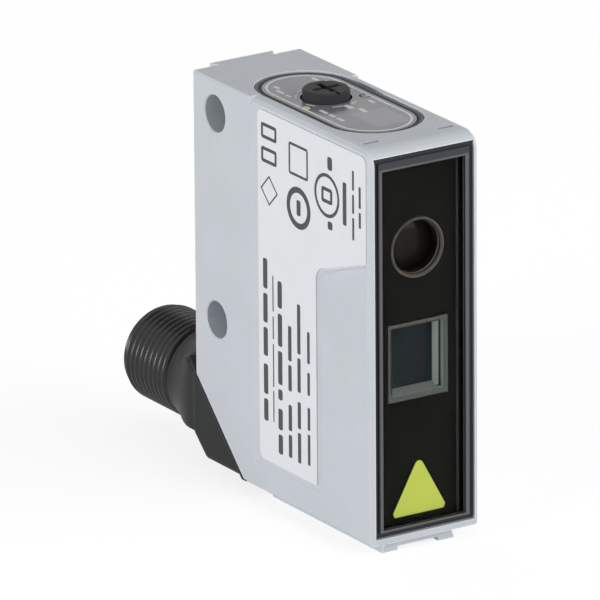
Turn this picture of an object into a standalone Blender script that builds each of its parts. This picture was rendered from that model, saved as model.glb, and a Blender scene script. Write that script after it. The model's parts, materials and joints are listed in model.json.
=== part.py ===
"""Compact laser distance sensor in a die-cast housing with a swivelling M12 plug.

Metres, +Z up. X is the width and Y the depth: the beam leaves the front face
towards -Y, and the plug points back along +Y. The origin lies midway between
the side faces and halfway between the front face and the plug's end, in the
plane that the rail under the housing stands on.
"""

import math

import bmesh
import bpy
from mathutils import Matrix, Vector

# Housing, outside
BODY_WIDTH = 0.0150
BODY_DEPTH = 0.0380
BODY_HEIGHT = 0.0480
MOUNT_LENGTH = 0.0125
MOUNT_PROUD = 0.00002
CORNER_CUT = 0.0108
FRONT_TOP_RADIUS = 0.0020
TOP_ROUND = 0.0011
FRONT_ROUND = 0.00075
EDGE_ROUND = 0.0003
LOWER_CHAMFER = 0.00035

# Screw holes through the rear of the housing
HOLE_DIAMETER = 0.0045
HOLE_SPACING = 0.0254
HOLE_FROM_BACK = 0.0047
HOLE_FROM_TOP = 0.0042
HOLE_CHAMFER = 0.0002

# Dovetail rails on the back and the bottom
BACK_RAIL_HEIGHT = 0.00115
BACK_RAIL_WIDTH = 0.0088
BACK_RAIL_CLEAR = 0.0008
BOTTOM_RAIL_HEIGHT = 0.0017
BOTTOM_RAIL_WIDTH = 0.0100
BOTTOM_RAIL_SETBACK = 0.0017
BOTTOM_RAIL_CLEAR = 0.0003
RAIL_UNDERCUT = 0.0006
RAIL_GROOVE_WIDTH = 0.0056
RAIL_GROOVE_DEPTH = 0.0005
RAIL_RELIEF = 0.0004

# Housing, inside
SIDE_WALL = 0.0015
TOP_WALL = 0.0020
BOTTOM_WALL = 0.0020
REAR_BLOCK = 0.0090
PIVOT_WALL = 0.0022
PIVOT_SPOTFACE = 0.0002
PIVOT_CHAMBER_RADIUS = 0.0046
PIVOT_CHAMBER_LENGTH = 0.0070

# Front opening, its frame, seal and glass
FRONT_LIP_SIDE = 0.00065
FRONT_LIP_TOP = 0.0011
FRONT_LIP_BOTTOM = 0.00075
FRONT_RECESS_DEPTH = 0.0044
FRAME_SETBACK = 0.00015
FRAME_RIM = 0.0005
FRAME_RIM_STEP = 0.0003
FRAME_BEAD_SIDE = 0.00055
FRAME_BEAD_TOP = 0.0011
FRAME_BEAD_BOTTOM = 0.0003
FRAME_BEAD_CHAMFER = 0.0001
FRAME_FLANGE = 0.0006
FRAME_SKIRT = 0.0005
GASKET_THICKNESS = 0.0005
GASKET_WIDTH = 0.0005
GLASS_THICKNESS = 0.00055
GLASS_CORNER = 0.0004

# Snap windows behind the front edge of the top
SNAP_INSET = 0.0024
SNAP_WIDTH = 0.0024
SNAP_LENGTH = 0.0008
SNAP_FROM_FRONT = 0.0029
SNAP_NOSE = 0.0007

# Mask behind the glass, with the tubes for both lenses
MASK_GAP = 0.0002
MASK_BORDER = 0.00095
MASK_BORDER_BOTTOM = 0.0004
MASK_BORDER_RISE = 0.0001
TUBE_WALL = 0.0008
APERTURE_DEPTH = 0.0017

# Transmitter, the upper and round one
TRANSMITTER_FROM_TOP = 0.0132
TRANSMITTER_DIAMETER = 0.0073
TRANSMITTER_RING = 0.00045
TRANSMITTER_TUBE = 0.0085
LENS_THICKNESS = 0.0020
LENS_CROWN = 0.0007
HOLDER_LENGTH = 0.0038
HOLDER_WALL = 0.00085
DIODE_RIM = 0.00045
DIODE_FLANGE = 0.0010
DIODE_LENGTH = 0.0035
DIODE_LEAD = 0.00045
DIODE_LEAD_CIRCLE = 0.00254
DIODE_LEAD_LENGTH = 0.0020
LASER_BOARD_SIZE = 0.0080
LASER_BOARD_GAP = 0.0008

# Receiver, the lower and square one
RECEIVER_BELOW = 0.0136
RECEIVER_MARGIN = 0.0034
RECEIVER_TALL = 0.0094
RECEIVER_RIM = 0.0005
RECEIVER_TAPER = 0.0006
RECEIVER_TUBE = 0.0125
DETECTOR_WIDTH = 0.0034
DETECTOR_TALL = 0.0090
DETECTOR_THICKNESS = 0.0012
SENSOR_BOARD_TALL = 0.0210

# Plain foil patch at the foot of the mask
PATCH_FROM_BOTTOM = 0.0024
PATCH_TALL = 0.0064
PATCH_WIDTH = 0.0072
PATCH_TOP_WIDTH = 0.0010
PATCH_EDGE = 0.0005
PATCH_THICKNESS = 0.00008

# Circuit boards
BOARD_THICKNESS = 0.0010
BOARD_SLOT = 0.0002
MAIN_BOARD_FOOT = 0.0085
MAIN_BOARD_SPACING = 0.0050
CHIP_SIZE = 0.0070
CHIP_THICKNESS = 0.0009
CONTROL_BOARD_FROM_FRONT = 0.0078

# Control panel on top
PANEL_MARGIN = 0.00145
PANEL_FRONT_MARGIN = 0.00495
PANEL_REAR_MARGIN = 0.00675
PANEL_RECESS = 0.0011
PANEL_LEDGE = 0.0008
PANEL_SETBACK = 0.0002
SEAL_WIDTH = 0.0007
SEAL_THICKNESS = 0.0008
WINDOW_THICKNESS = 0.0007
LAMP_INSET = 0.00195
LAMP_FROM_KNOB = 0.0020
LAMP_DIAMETER = 0.0013
LAMP_FOOT_DIAMETER = 0.0020
LAMP_FOOT = 0.0006
LAMP_DOME = 0.0002

# Selector knob and its switch
KNOB_FROM_MIDDLE = 0.0027
KNOB_INSET = 0.0013
KNOB_RISE = 0.0010
KNOB_CHAMFER = 0.0002
KNOB_SLOT_WIDTH = 0.0008
KNOB_SLOT_LENGTH = 0.0036
KNOB_SLOT_DEPTH = 0.0005
KNOB_MARK_DEPTH = 0.0002
KNOB_SHAFT = 0.0024
KNOB_RING_SECTION = 0.0007
SWITCH_GAP = 0.0004
SWITCH_HEIGHT = 0.0018
SWITCH_DEPTH = 0.0044
SWITCH_SOCKET = 0.0011

# Name plate and its pocket on the near side
PLATE_THICKNESS = 0.00012
PLATE_CORNER = 0.0009
PLATE_REAR = 0.0241
PLATE_FRONT = 0.0011
PLATE_FROM_TOP = 0.0010
PLATE_BOTTOM = 0.0041
PLATE_TAB = 0.0118
PLATE_STEP_FRONT = 0.0138
PLATE_STEP_REAR = 0.0167
PLATE_STEP_CORNER = 0.0020
POCKET_DEPTH = 0.00026
POCKET_MARGIN = 0.00015
POCKET_WIDE_MARGIN = 0.0004
POCKET_WALL = 0.0002
POCKET_REAR_WALL = 0.0009
POCKET_BOTTOM_WALL = 0.0006

# Swivelling plug
FLANGE_THICKNESS = 0.0007
FLANGE_MARGIN = 0.0002
BLOCK_MARGIN = 0.0002
BLOCK_INSET = 0.00015
BLOCK_BACK = 0.0014
BLOCK_CHAMFER = 0.0029
BLOCK_CHAMFER_RISE = 0.0026
BLOCK_ROUND = 0.0004
NECK_DIAMETER = 0.0118
NECK_CHAMFER_WIDTH = 0.0026
NECK_CHAMFER_HEIGHT = 0.0013
NECK_ROOT = 0.0003
NECK_SHOULDER = 0.0009
NECK_TOP = 0.0126
PLUG_HEIGHT = 0.0064
THREAD_START = 0.0091
THREAD_LENGTH = 0.0101
THREAD_DIAMETER = 0.0120
THREAD_PITCH = 0.0010
THREAD_DEPTH = 0.0004
THREAD_CREST = 0.0003
THREAD_RELIEF = 0.0005
SOCKET_DIAMETER = 0.0088
SPIGOT_LENGTH = 0.0008
INSERT_LENGTH = 0.0030
KEY_WIDTH = 0.0011
KEY_HEIGHT = 0.0006
KEY_LENGTH = 0.0040
PIN_DIAMETER = 0.0010
PIN_TIP = 0.0002
PIN_LENGTH = 0.0055
PIN_CIRCLE = 0.0050
PIN_COUNT = 4
STEM_DIAMETER = 0.0060
STEM_GROOVE = 0.0003
STEM_END = 0.0006
CLIP_WIDTH = 0.0012
CLIP_THICKNESS = 0.0006
CLIP_MOUTH = 0.0039
SEAL_RING_SECTION = 0.0007

# Fits
FIT = 0.0001
ROUND_FIT = 0.00025
GLUE_LINE = 0.00003
OVERRUN = 0.0010

# Places that follow from the sizes
FRONT = -(BODY_DEPTH + THREAD_START + THREAD_LENGTH) / 2
BACK = FRONT + BODY_DEPTH
BOTTOM = BOTTOM_RAIL_HEIGHT
TOP = BOTTOM + BODY_HEIGHT
HALF_WIDTH = BODY_WIDTH / 2
STEP = BACK - MOUNT_LENGTH
CAVITY_HALF = HALF_WIDTH - SIDE_WALL
CAVITY_BACK = BACK - REAR_BLOCK
CAVITY_TOP = TOP - TOP_WALL
CAVITY_BOTTOM = BOTTOM + BOTTOM_WALL
SHOULDER = FRONT + FRONT_RECESS_DEPTH
SNAP_SPACING = BODY_WIDTH - 2 * SNAP_INSET
RECESS_HALF = HALF_WIDTH - FRONT_LIP_SIDE
RECESS_TOP = TOP - FRONT_LIP_TOP
RECESS_BOTTOM = BOTTOM + FRONT_LIP_BOTTOM
FRAME_HALF = RECESS_HALF - FIT
FRAME_TOP = RECESS_TOP - FIT
FRAME_BOTTOM = RECESS_BOTTOM + FIT
FRAME_FRONT = FRONT + FRAME_SETBACK
FRAME_BACK = SHOULDER - GASKET_THICKNESS - 2 * FIT
PANE_HALF = FRAME_HALF - FRAME_SKIRT - FIT
PANE_TOP = FRAME_TOP - FRAME_SKIRT - FIT
PANE_BOTTOM = FRAME_BOTTOM + FRAME_SKIRT + FIT
GLASS_FRONT = FRAME_FRONT + FRAME_FLANGE + FIT
GLASS_BACK = GLASS_FRONT + GLASS_THICKNESS
MASK_FRONT = GLASS_BACK + MASK_GAP
MASK_BACK = SHOULDER - FIT
LENS_FRONT = MASK_FRONT + APERTURE_DEPTH + FIT
TRANSMITTER_Z = TOP - TRANSMITTER_FROM_TOP
TRANSMITTER_BORE = TRANSMITTER_DIAMETER - 2 * TRANSMITTER_RING
DIODE_DIAMETER = TRANSMITTER_DIAMETER - 2 * HOLDER_WALL
DIODE_CAN = DIODE_DIAMETER - 2 * DIODE_RIM
TRANSMITTER_END = MASK_FRONT + TRANSMITTER_TUBE
RECEIVER_Z = TRANSMITTER_Z - RECEIVER_BELOW
RECEIVER_WIDTH = BODY_WIDTH - 2 * RECEIVER_MARGIN
RECEIVER_END = MASK_FRONT + RECEIVER_TUBE
SENSOR_BOARD_FRONT = RECEIVER_END + FIT
MAIN_BOARD_FRONT = SENSOR_BOARD_FRONT + BOARD_THICKNESS + MAIN_BOARD_SPACING
BOARD_HALF = CAVITY_HALF - BOARD_SLOT
PANEL_WIDTH = BODY_WIDTH - 2 * PANEL_MARGIN
LAMP_SPACING = PANEL_WIDTH - 2 * LAMP_INSET
SWITCH_SIZE = LAMP_SPACING - LAMP_FOOT_DIAMETER - 2 * SWITCH_GAP
PANEL_LENGTH = BODY_DEPTH - PANEL_FRONT_MARGIN - PANEL_REAR_MARGIN
PANEL_Y = FRONT + PANEL_FRONT_MARGIN + PANEL_LENGTH / 2
KNOB_Y = PANEL_Y + KNOB_FROM_MIDDLE
LAMP_Y = KNOB_Y - LAMP_FROM_KNOB
KNOB_DIAMETER = LAMP_SPACING - 2 * KNOB_INSET
PANEL_FLOOR = TOP - PANEL_RECESS
WINDOW_TOP = TOP - PANEL_SETBACK
WINDOW_BOTTOM = WINDOW_TOP - WINDOW_THICKNESS
CONTROL_BOARD_TOP = TOP - SWITCH_DEPTH
CONTROL_BOARD_BOTTOM = CONTROL_BOARD_TOP - BOARD_THICKNESS
SWITCH_TOP = CONTROL_BOARD_TOP + FIT + SWITCH_HEIGHT
PLUG_Z = BOTTOM + PLUG_HEIGHT
FLANGE_WIDTH = BODY_WIDTH - 2 * FLANGE_MARGIN
BLOCK_WIDTH = FLANGE_WIDTH - 2 * BLOCK_MARGIN
BLOCK_END = BACK + BLOCK_BACK
THREAD_FRONT = BACK + THREAD_START
SWIVEL_START = BACK - CORNER_CUT + FIT * math.sqrt(2)
BLOCK_START = SWIVEL_START + FLANGE_THICKNESS / math.sqrt(2)
PIVOT = Vector((0.0, BACK - CORNER_CUT / 2, BOTTOM + CORNER_CUT / 2))
PIVOT_AXIS = Vector((0.0, 1.0, -1.0)).normalized()
INWARDS = -PIVOT_AXIS
BACKWARDS = Vector((0.0, 1.0, 0.0))
FORWARDS = Vector((0.0, -1.0, 0.0))
UPWARDS = Vector((0.0, 0.0, 1.0))

# World axes of an outline's own plane and of its thickness
PLANES = {
    "XY": Matrix.Identity(3),
    "YZ": Matrix(((0, 0, 1), (1, 0, 0), (0, 1, 0))),
    "XZ": Matrix(((1, 0, 0), (0, 0, -1), (0, 1, 0))),
}


def empty_scene():
    """Remove what the scene already holds."""
    for item in list(bpy.data.objects):
        bpy.data.objects.remove(item, do_unlink=True)


def add_collection(name):
    """Make a collection under the scene's own."""
    group = bpy.data.collections.new(name)
    bpy.context.scene.collection.children.link(group)
    return group


def add_mesh(name, build, group):
    """Make an object from a function that fills a bmesh."""
    data = bpy.data.meshes.new(name)
    shape = bmesh.new()
    build(shape)
    bmesh.ops.recalc_face_normals(shape, faces=shape.faces)
    shape.to_mesh(data)
    shape.free()
    item = bpy.data.objects.new(name, data)
    group.objects.link(item)
    return item


def box(name, low, high, group):
    """Make a box between two corners, with its origin in its middle."""
    low, high = Vector(low), Vector(high)
    size = Matrix.Diagonal((high - low).to_4d())

    def build(shape):
        bmesh.ops.create_cube(shape, size=1.0, matrix=size)

    item = add_mesh(name, build, group)
    item.location = (low + high) / 2
    return item


def aim(item, start, direction):
    """Stand an object's own Z axis on a point, along a direction."""
    item.rotation_mode = "QUATERNION"
    item.rotation_quaternion = Vector(direction).to_track_quat("Z", "Y")
    item.location = start


def rod(name, radius, length, start, direction, group, steps=32):
    """Make a plain round bar that starts at a point and runs in a direction."""
    middle = Matrix.Translation((0.0, 0.0, length / 2))

    def build(shape):
        bmesh.ops.create_cone(shape, cap_ends=True, segments=steps, radius1=radius,
                              radius2=radius, depth=length, matrix=middle)

    item = add_mesh(name, build, group)
    aim(item, start, direction)
    return item


def turned(name, profile, start, direction, group, steps=32):
    """Turn a profile of (radius, height) points, listed from its top down its outer side."""
    data = bpy.data.meshes.new(name)
    points = [(radius, 0.0, height) for radius, height in profile]
    edges = [(index, index + 1) for index in range(len(points) - 1)]
    if profile[0][0] > 0.0:
        edges.append((len(points) - 1, 0))
    data.from_pydata(points, edges, [])
    item = bpy.data.objects.new(name, data)
    group.objects.link(item)
    turn = item.modifiers.new("Turn", "SCREW")
    turn.axis = "Z"
    turn.steps = steps
    turn.render_steps = steps
    turn.use_merge_vertices = True
    turn.merge_threshold = 1e-7
    aim(item, start, direction)
    return item


def outline(name, loops, plane, low, high, group):
    """Extrude flat outlines, the first the outer one and the rest holes.

    The outlines lie in the named plane, and low and high are the places of
    the two flat faces on the world axis across it.
    """
    curve = bpy.data.curves.new(name, "CURVE")
    curve.dimensions = "2D"
    curve.fill_mode = "BOTH"
    curve.extrude = (high - low) / 2
    for loop in loops:
        spline = curve.splines.new("POLY")
        spline.points.add(len(loop) - 1)
        spline.use_cyclic_u = True
        for point, place in zip(spline.points, loop):
            point.co = (place[0], place[1], 0.0, 1.0)
    sketch = bpy.data.objects.new(name, curve)
    group.objects.link(sketch)
    turn = PLANES[plane]
    across = turn.col[2]
    middle = across * (low + high) / 2 * sum(across)
    sketch.matrix_world = Matrix.Translation(middle) @ turn.to_4x4()
    bpy.context.view_layer.update()
    evaluated = sketch.evaluated_get(bpy.context.evaluated_depsgraph_get())
    data = bpy.data.meshes.new_from_object(evaluated)
    place = sketch.matrix_world.copy()
    bpy.data.objects.remove(sketch, do_unlink=True)
    shape = bmesh.new()
    shape.from_mesh(data)
    bmesh.ops.remove_doubles(shape, verts=shape.verts, dist=1e-7)
    bmesh.ops.dissolve_limit(shape, angle_limit=math.radians(1), verts=shape.verts, edges=shape.edges)
    bmesh.ops.recalc_face_normals(shape, faces=shape.faces)
    shape.to_mesh(data)
    shape.free()
    item = bpy.data.objects.new(name, data)
    group.objects.link(item)
    item.matrix_world = place
    return item


def loft(name, sections, group):
    """Skin a row of closed sections that have the same number of points."""
    count = len(sections[0])

    def build(shape):
        rows = [[shape.verts.new(point) for point in section] for section in sections]
        for near, far in zip(rows, rows[1:]):
            for index in range(count):
                after = (index + 1) % count
                shape.faces.new((near[index], near[after], far[after], far[index]))
        shape.faces.new(rows[0])
        shape.faces.new(rows[-1])

    return add_mesh(name, build, group)


def arc(centre, radius, first, last, steps):
    """Points on an arc between two angles in degrees."""
    points = []
    for index in range(steps + 1):
        angle = math.radians(first + (last - first) * index / steps)
        points.append((centre[0] + radius * math.cos(angle), centre[1] + radius * math.sin(angle)))
    return points


def obround(width, length, centre, steps=14):
    """A slot-shaped outline in the XY plane, long in Y."""
    radius = width / 2
    reach = length / 2 - radius
    front = arc((0.0, centre - reach), radius, 180, 360, steps)
    return front + arc((0.0, centre + reach), radius, 0, 180, steps)


def rectangle(half_width, low, high, radius=0.0, steps=3):
    """A rectangle symmetric about the first axis, with rounded corners if asked."""
    if not radius:
        return [(-half_width, low), (half_width, low), (half_width, high), (-half_width, high)]
    reach = half_width - radius
    points = arc((-reach, low + radius), radius, 180, 270, steps)
    points += arc((reach, low + radius), radius, 270, 360, steps)
    points += arc((reach, high - radius), radius, 0, 90, steps)
    points += arc((-reach, high - radius), radius, 90, 180, steps)
    return points


def boolean(item, tool, operation):
    """Cut or join an object with another, which stays behind as a hidden guide."""
    step = item.modifiers.new(tool.name, "BOOLEAN")
    step.operation = operation
    step.object = tool
    step.solver = "EXACT"
    tool.hide_render = True
    tool.display_type = "WIRE"


def cut(item, tool):
    boolean(item, tool, "DIFFERENCE")


def join(item, tool):
    boolean(item, tool, "UNION")


def round_edges(item, radius, segments=2, angle=40.0):
    """Round every edge that turns by more than an angle."""
    bevel = item.modifiers.new("Round", "BEVEL")
    bevel.width = radius
    bevel.segments = segments
    bevel.limit_method = "ANGLE"
    bevel.angle_limit = math.radians(angle)


def round_chosen_edges(item, largest, rule, segments=3):
    """Round edges by the radius that a rule gives for the two ends of each."""
    weights = item.data.attributes.new("bevel_weight_edge", "FLOAT", "EDGE")
    places = [item.matrix_world @ vertex.co for vertex in item.data.vertices]
    for edge in item.data.edges:
        near, far = (places[index] for index in edge.vertices)
        weights.data[edge.index].value = rule(near, far) / largest
    bevel = item.modifiers.new("Round", "BEVEL")
    bevel.width = largest
    bevel.segments = segments
    bevel.limit_method = "WEIGHT"


def material(name, colour, roughness, metallic=0.0, transmission=0.0):
    """A plain Principled material."""
    made = bpy.data.materials.new(name)
    made.use_nodes = True
    shader = made.node_tree.nodes["Principled BSDF"]
    shader.inputs["Base Color"].default_value = (*colour, 1.0)
    shader.inputs["Roughness"].default_value = roughness
    shader.inputs["Metallic"].default_value = metallic
    shader.inputs["Transmission Weight"].default_value = transmission
    made.diffuse_color = (*colour, 1.0)
    return made


def paint(item, made):
    item.data.materials.clear()
    item.data.materials.append(made)


def make_materials():
    """One material for each kind of surface."""
    return {
        "cast": material("Silver paint", (0.58, 0.60, 0.64), 0.45, 0.3),
        "plate": material("Printed foil", (0.78, 0.80, 0.83), 0.35),
        "frame": material("Dark grey plastic", (0.030, 0.033, 0.036), 0.40),
        "glass": material("Front glass", (0.90, 0.93, 0.93), 0.03, 0.0, 1.0),
        "mask": material("Black optics plastic", (0.012, 0.012, 0.010), 0.45),
        "lens": material("Lens", (0.55, 0.62, 0.62), 0.05, 0.0, 1.0),
        "ring": material("Transmitter ring", (0.16, 0.15, 0.12), 0.35, 0.6),
        "rim": material("Receiver rim", (0.16, 0.21, 0.18), 0.35),
        "brass": material("Brass", (0.60, 0.45, 0.20), 0.30, 1.0),
        "steel": material("Bright steel", (0.62, 0.62, 0.62), 0.25, 1.0),
        "chip": material("Chip", (0.02, 0.02, 0.022), 0.50),
        "board": material("Circuit board", (0.02, 0.16, 0.07), 0.50),
        "rubber": material("Black rubber", (0.02, 0.02, 0.02), 0.75),
        "patch": material("Yellow-green foil", (0.58, 0.66, 0.10), 0.45),
        "window": material("Smoked window", (0.22, 0.23, 0.25), 0.15, 0.0, 0.5),
        "knob": material("Knob plastic", (0.045, 0.043, 0.045), 0.45),
        "green": material("Green lamp", (0.25, 0.60, 0.15), 0.20, 0.0, 0.3),
        "amber": material("Amber lamp", (0.80, 0.50, 0.08), 0.20, 0.0, 0.3),
        "plug": material("Black plug plastic", (0.035, 0.035, 0.036), 0.45),
        "gold": material("Gold plating", (0.80, 0.60, 0.25), 0.25, 1.0),
    }


def front_edge_radius(near, far):
    """Radius of an edge of the front section, by the face that it bounds."""
    tiny = EDGE_ROUND / 10
    middle = (near + far) / 2
    below = max(near.z, far.z) < BOTTOM + EDGE_ROUND
    if below or abs(near.x - far.x) > tiny or min(near.y, far.y) > STEP:
        return 0.0
    share = max(0.0, (middle.z - TOP) / FRONT_TOP_RADIUS + 1.0)
    return FRONT_ROUND + (TOP_ROUND - FRONT_ROUND) * share


def front_section(group):
    """The front part of the housing: its side profile drawn across the width."""
    high, low = TOP - MOUNT_PROUD, BOTTOM + MOUNT_PROUD
    centre = (FRONT + FRONT_TOP_RADIUS, high - FRONT_TOP_RADIUS)
    back = STEP + OVERRUN
    profile = [(FRONT, low), (back, low), (back, high)]
    profile += arc(centre, FRONT_TOP_RADIUS, 90, 180, 6)
    half = HALF_WIDTH - MOUNT_PROUD
    body = outline("housing", [profile], "YZ", -half, half, group)
    round_chosen_edges(body, TOP_ROUND, front_edge_radius)
    return body


def rear_edge_radius(near, far):
    """Slight round on the mounting block, but none below or where it meets the front."""
    below = max(near.z, far.z) < BOTTOM + EDGE_ROUND
    return 0.0 if below or max(near.y, far.y) < BACK - EDGE_ROUND else EDGE_ROUND


def rear_section(guides):
    """The mounting block at the rear, of the same width but with crisp edges."""
    profile = [(STEP, BOTTOM), (BACK, BOTTOM), (BACK, TOP), (STEP, TOP)]
    block = outline("mounting_block", [profile], "YZ", -HALF_WIDTH, HALF_WIDTH, guides)
    round_chosen_edges(block, EDGE_ROUND, rear_edge_radius, 2)
    return block


def back_rail(low, guides):
    """Dovetail rail up the back, above the slanted corner where the plug turns."""
    outer = BACK_RAIL_WIDTH / 2
    root = outer - RAIL_UNDERCUT
    tip = BACK + BACK_RAIL_HEIGHT
    inside = BACK - OVERRUN
    loop = [(-root, inside), (root, inside), (root, BACK), (outer, tip), (-outer, tip), (-root, BACK)]
    return outline("back_rail", [loop], "XY", low, TOP - FIT, guides)


def back_rail_relief(side, low, guides):
    """Groove along one root of the back rail."""
    root = BACK_RAIL_WIDTH / 2 - RAIL_UNDERCUT
    near, far = sorted((side * (root - RAIL_RELIEF / 4), side * (root + RAIL_RELIEF)))
    corner = (near, BACK - RAIL_RELIEF, low - RAIL_RELIEF / 2)
    return box(f"rail_relief_{side + 2}", corner, (far, BACK + RAIL_RELIEF / 4, TOP + OVERRUN), guides)


def bottom_rail(guides):
    """Dovetail rail under the housing, with a groove between its two ribs."""
    outer = BOTTOM_RAIL_WIDTH / 2
    root = outer - RAIL_UNDERCUT
    groove = RAIL_GROOVE_WIDTH / 2
    inside = BOTTOM + OVERRUN
    loop = [(-outer, 0.0), (-groove, 0.0), (-groove, RAIL_GROOVE_DEPTH), (groove, RAIL_GROOVE_DEPTH)]
    loop += [(groove, 0.0), (outer, 0.0), (root, BOTTOM), (root, inside), (-root, inside), (-root, BOTTOM)]
    back = BACK - CORNER_CUT - BOTTOM_RAIL_HEIGHT - BOTTOM_RAIL_CLEAR
    return outline("bottom_rail", [loop], "XZ", FRONT + BOTTOM_RAIL_SETBACK, back, guides)


def corner_cutter(guides):
    """A wedge that takes off the lower back corner at 45 degrees."""
    reach = CORNER_CUT + 4 * OVERRUN
    slant = BACK - CORNER_CUT
    loop = [(slant - 4 * OVERRUN, BOTTOM - 4 * OVERRUN), (slant + reach, BOTTOM - 4 * OVERRUN)]
    loop += [(slant + reach, BOTTOM + reach)]
    return outline("corner_cutter", [loop], "YZ", -BODY_WIDTH, BODY_WIDTH, guides)


def lower_edge_cutter(side, guides):
    """A wedge that chamfers one of the two long edges under the housing."""
    edge, reach = side * HALF_WIDTH, side * OVERRUN
    loop = [(edge - side * LOWER_CHAMFER - reach, BOTTOM - OVERRUN), (edge + reach, BOTTOM - OVERRUN)]
    loop += [(edge + reach, BOTTOM + LOWER_CHAMFER + OVERRUN)]
    name = f"lower_edge_{side + 2}"
    return outline(name, [loop], "XZ", FRONT - OVERRUN, BACK + OVERRUN, guides)


def cavity_cutter(guides):
    """The inside of the housing, open at the front, with a slanted lower back corner."""
    slant = CORNER_CUT + (PIVOT_WALL + PIVOT_SPOTFACE) * math.sqrt(2)
    loop = [(FRONT - OVERRUN, CAVITY_BOTTOM), (BACK - slant + BOTTOM_WALL, CAVITY_BOTTOM)]
    loop += [(CAVITY_BACK, BOTTOM + slant - REAR_BLOCK), (CAVITY_BACK, CAVITY_TOP)]
    loop += [(FRONT - OVERRUN, CAVITY_TOP)]
    return outline("cavity_cutter", [loop], "YZ", -CAVITY_HALF, CAVITY_HALF, guides)


def screw_hole(index, guides):
    """A screw hole through the mounting block with a chamfer at each mouth."""
    radius = HOLE_DIAMETER / 2
    wide = radius + HOLE_CHAMFER
    flat = HALF_WIDTH - HOLE_CHAMFER
    end = HALF_WIDTH + OVERRUN
    profile = [(0.0, end), (wide, end), (wide, HALF_WIDTH), (radius, flat)]
    profile += [(radius, -flat), (wide, -HALF_WIDTH), (wide, -end), (0.0, -end)]
    start = (0.0, BACK - HOLE_FROM_BACK, TOP - HOLE_FROM_TOP - index * HOLE_SPACING)
    return turned(f"screw_hole_{index + 1}", profile, start, (1, 0, 0), guides)


def snap_places():
    return [-SNAP_SPACING / 2, SNAP_SPACING / 2]


def plate_outline(rear=0.0, bottom=0.0, tab=0.0, other=0.0):
    """The name plate's outline in the YZ plane, grown by a margin on each side."""
    radius = PLATE_CORNER
    corner = PLATE_STEP_CORNER
    back, front = FRONT + PLATE_REAR + rear, FRONT + PLATE_FRONT - other
    top, low = TOP - PLATE_FROM_TOP + other, BOTTOM + PLATE_BOTTOM - bottom
    edge = FRONT + PLATE_TAB - tab
    step_front = TOP - PLATE_STEP_FRONT - other
    step_rear = TOP - PLATE_STEP_REAR - other
    points = arc((back - radius, low + radius), radius, 270, 360, 4)
    points += arc((back - radius, top - radius), radius, 0, 90, 4)
    points += arc((front + radius, top - radius), radius, 90, 180, 4)
    points += [(front, step_front)]
    points += arc((edge - corner, step_rear - corner), corner, 90, 0, 5)
    points += [(edge, low)]
    return points


def pocket_section(rise):
    """A section of the name plate's pocket, at a rise above its floor as a share of its depth."""
    long_wall = POCKET_WIDE_MARGIN + POCKET_REAR_WALL * rise
    low_wall = POCKET_WIDE_MARGIN + POCKET_BOTTOM_WALL * rise
    outer = plate_outline(long_wall, low_wall, long_wall, POCKET_MARGIN + POCKET_WALL * rise)
    x = -HALF_WIDTH + POCKET_DEPTH * (1 - rise)
    return [(x, y, z) for y, z in outer]


def pocket_cutter(guides):
    """Shallow pocket for the name plate, with sloping walls."""
    return loft("plate_pocket", [pocket_section(3.0), pocket_section(0.0)], guides)


def cut_panel_opening(body, guides):
    """Stepped oval opening in the top, with room for the two lamps."""
    upper = [obround(PANEL_WIDTH, PANEL_LENGTH, PANEL_Y)]
    cut(body, outline("panel_recess", upper, "XY", PANEL_FLOOR, TOP + OVERRUN, guides))
    narrow = 2 * (PANEL_LEDGE + SEAL_WIDTH)
    lower = [obround(PANEL_WIDTH - narrow, PANEL_LENGTH - narrow, PANEL_Y)]
    floor = CAVITY_TOP - OVERRUN
    cut(body, outline("panel_opening", lower, "XY", floor, PANEL_FLOOR + OVERRUN / 2, guides))
    for index, side in enumerate((-1, 1), 1):
        start = (side * LAMP_SPACING / 2, LAMP_Y, floor)
        length = PANEL_FLOOR + OVERRUN / 4 - floor
        radius = LAMP_DIAMETER / 2 + ROUND_FIT
        cut(body, rod(f"lamp_notch_{index}", radius, length, start, UPWARDS, guides, 20))


def cut_pivot_bore(body, guides):
    """Bore in the slanted wall for the plug's stem, and the room behind it."""
    radius = STEM_DIAMETER / 2 + ROUND_FIT
    outside = PIVOT - INWARDS * OVERRUN
    cut(body, rod("pivot_bore", radius, PIVOT_WALL + 3 * OVERRUN, outside, INWARDS, guides))
    inside = PIVOT + INWARDS * PIVOT_WALL
    length = PIVOT_CHAMBER_LENGTH
    cut(body, rod("pivot_chamber", PIVOT_CHAMBER_RADIUS, length, inside, INWARDS, guides, 36))


def make_housing(mats, parts, guides):
    """Die-cast housing: one shell that the front closes and the plug turns on."""
    body = front_section(parts)
    join(body, rear_section(guides))
    rail_low = BOTTOM + CORNER_CUT + BACK_RAIL_HEIGHT + BACK_RAIL_CLEAR
    join(body, back_rail(rail_low, guides))
    join(body, bottom_rail(guides))
    for side in (-1, 1):
        cut(body, back_rail_relief(side, rail_low, guides))
        cut(body, lower_edge_cutter(side, guides))
    cut(body, corner_cutter(guides))
    cut(body, cavity_cutter(guides))
    recess = [rectangle(RECESS_HALF, RECESS_BOTTOM, RECESS_TOP)]
    cut(body, outline("front_recess", recess, "XZ", FRONT - OVERRUN, SHOULDER, guides))
    cut_panel_opening(body, guides)
    for index in range(2):
        cut(body, screw_hole(index, guides))
    window_front = FRONT + SNAP_FROM_FRONT
    for index, x in enumerate(snap_places(), 1):
        low = (x - SNAP_WIDTH / 2, window_front, RECESS_TOP - OVERRUN)
        high = (x + SNAP_WIDTH / 2, window_front + SNAP_LENGTH, TOP + OVERRUN)
        cut(body, box(f"snap_window_{index}", low, high, guides))
    cut_pivot_bore(body, guides)
    cut(body, pocket_cutter(guides))
    paint(body, mats["cast"])


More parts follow.
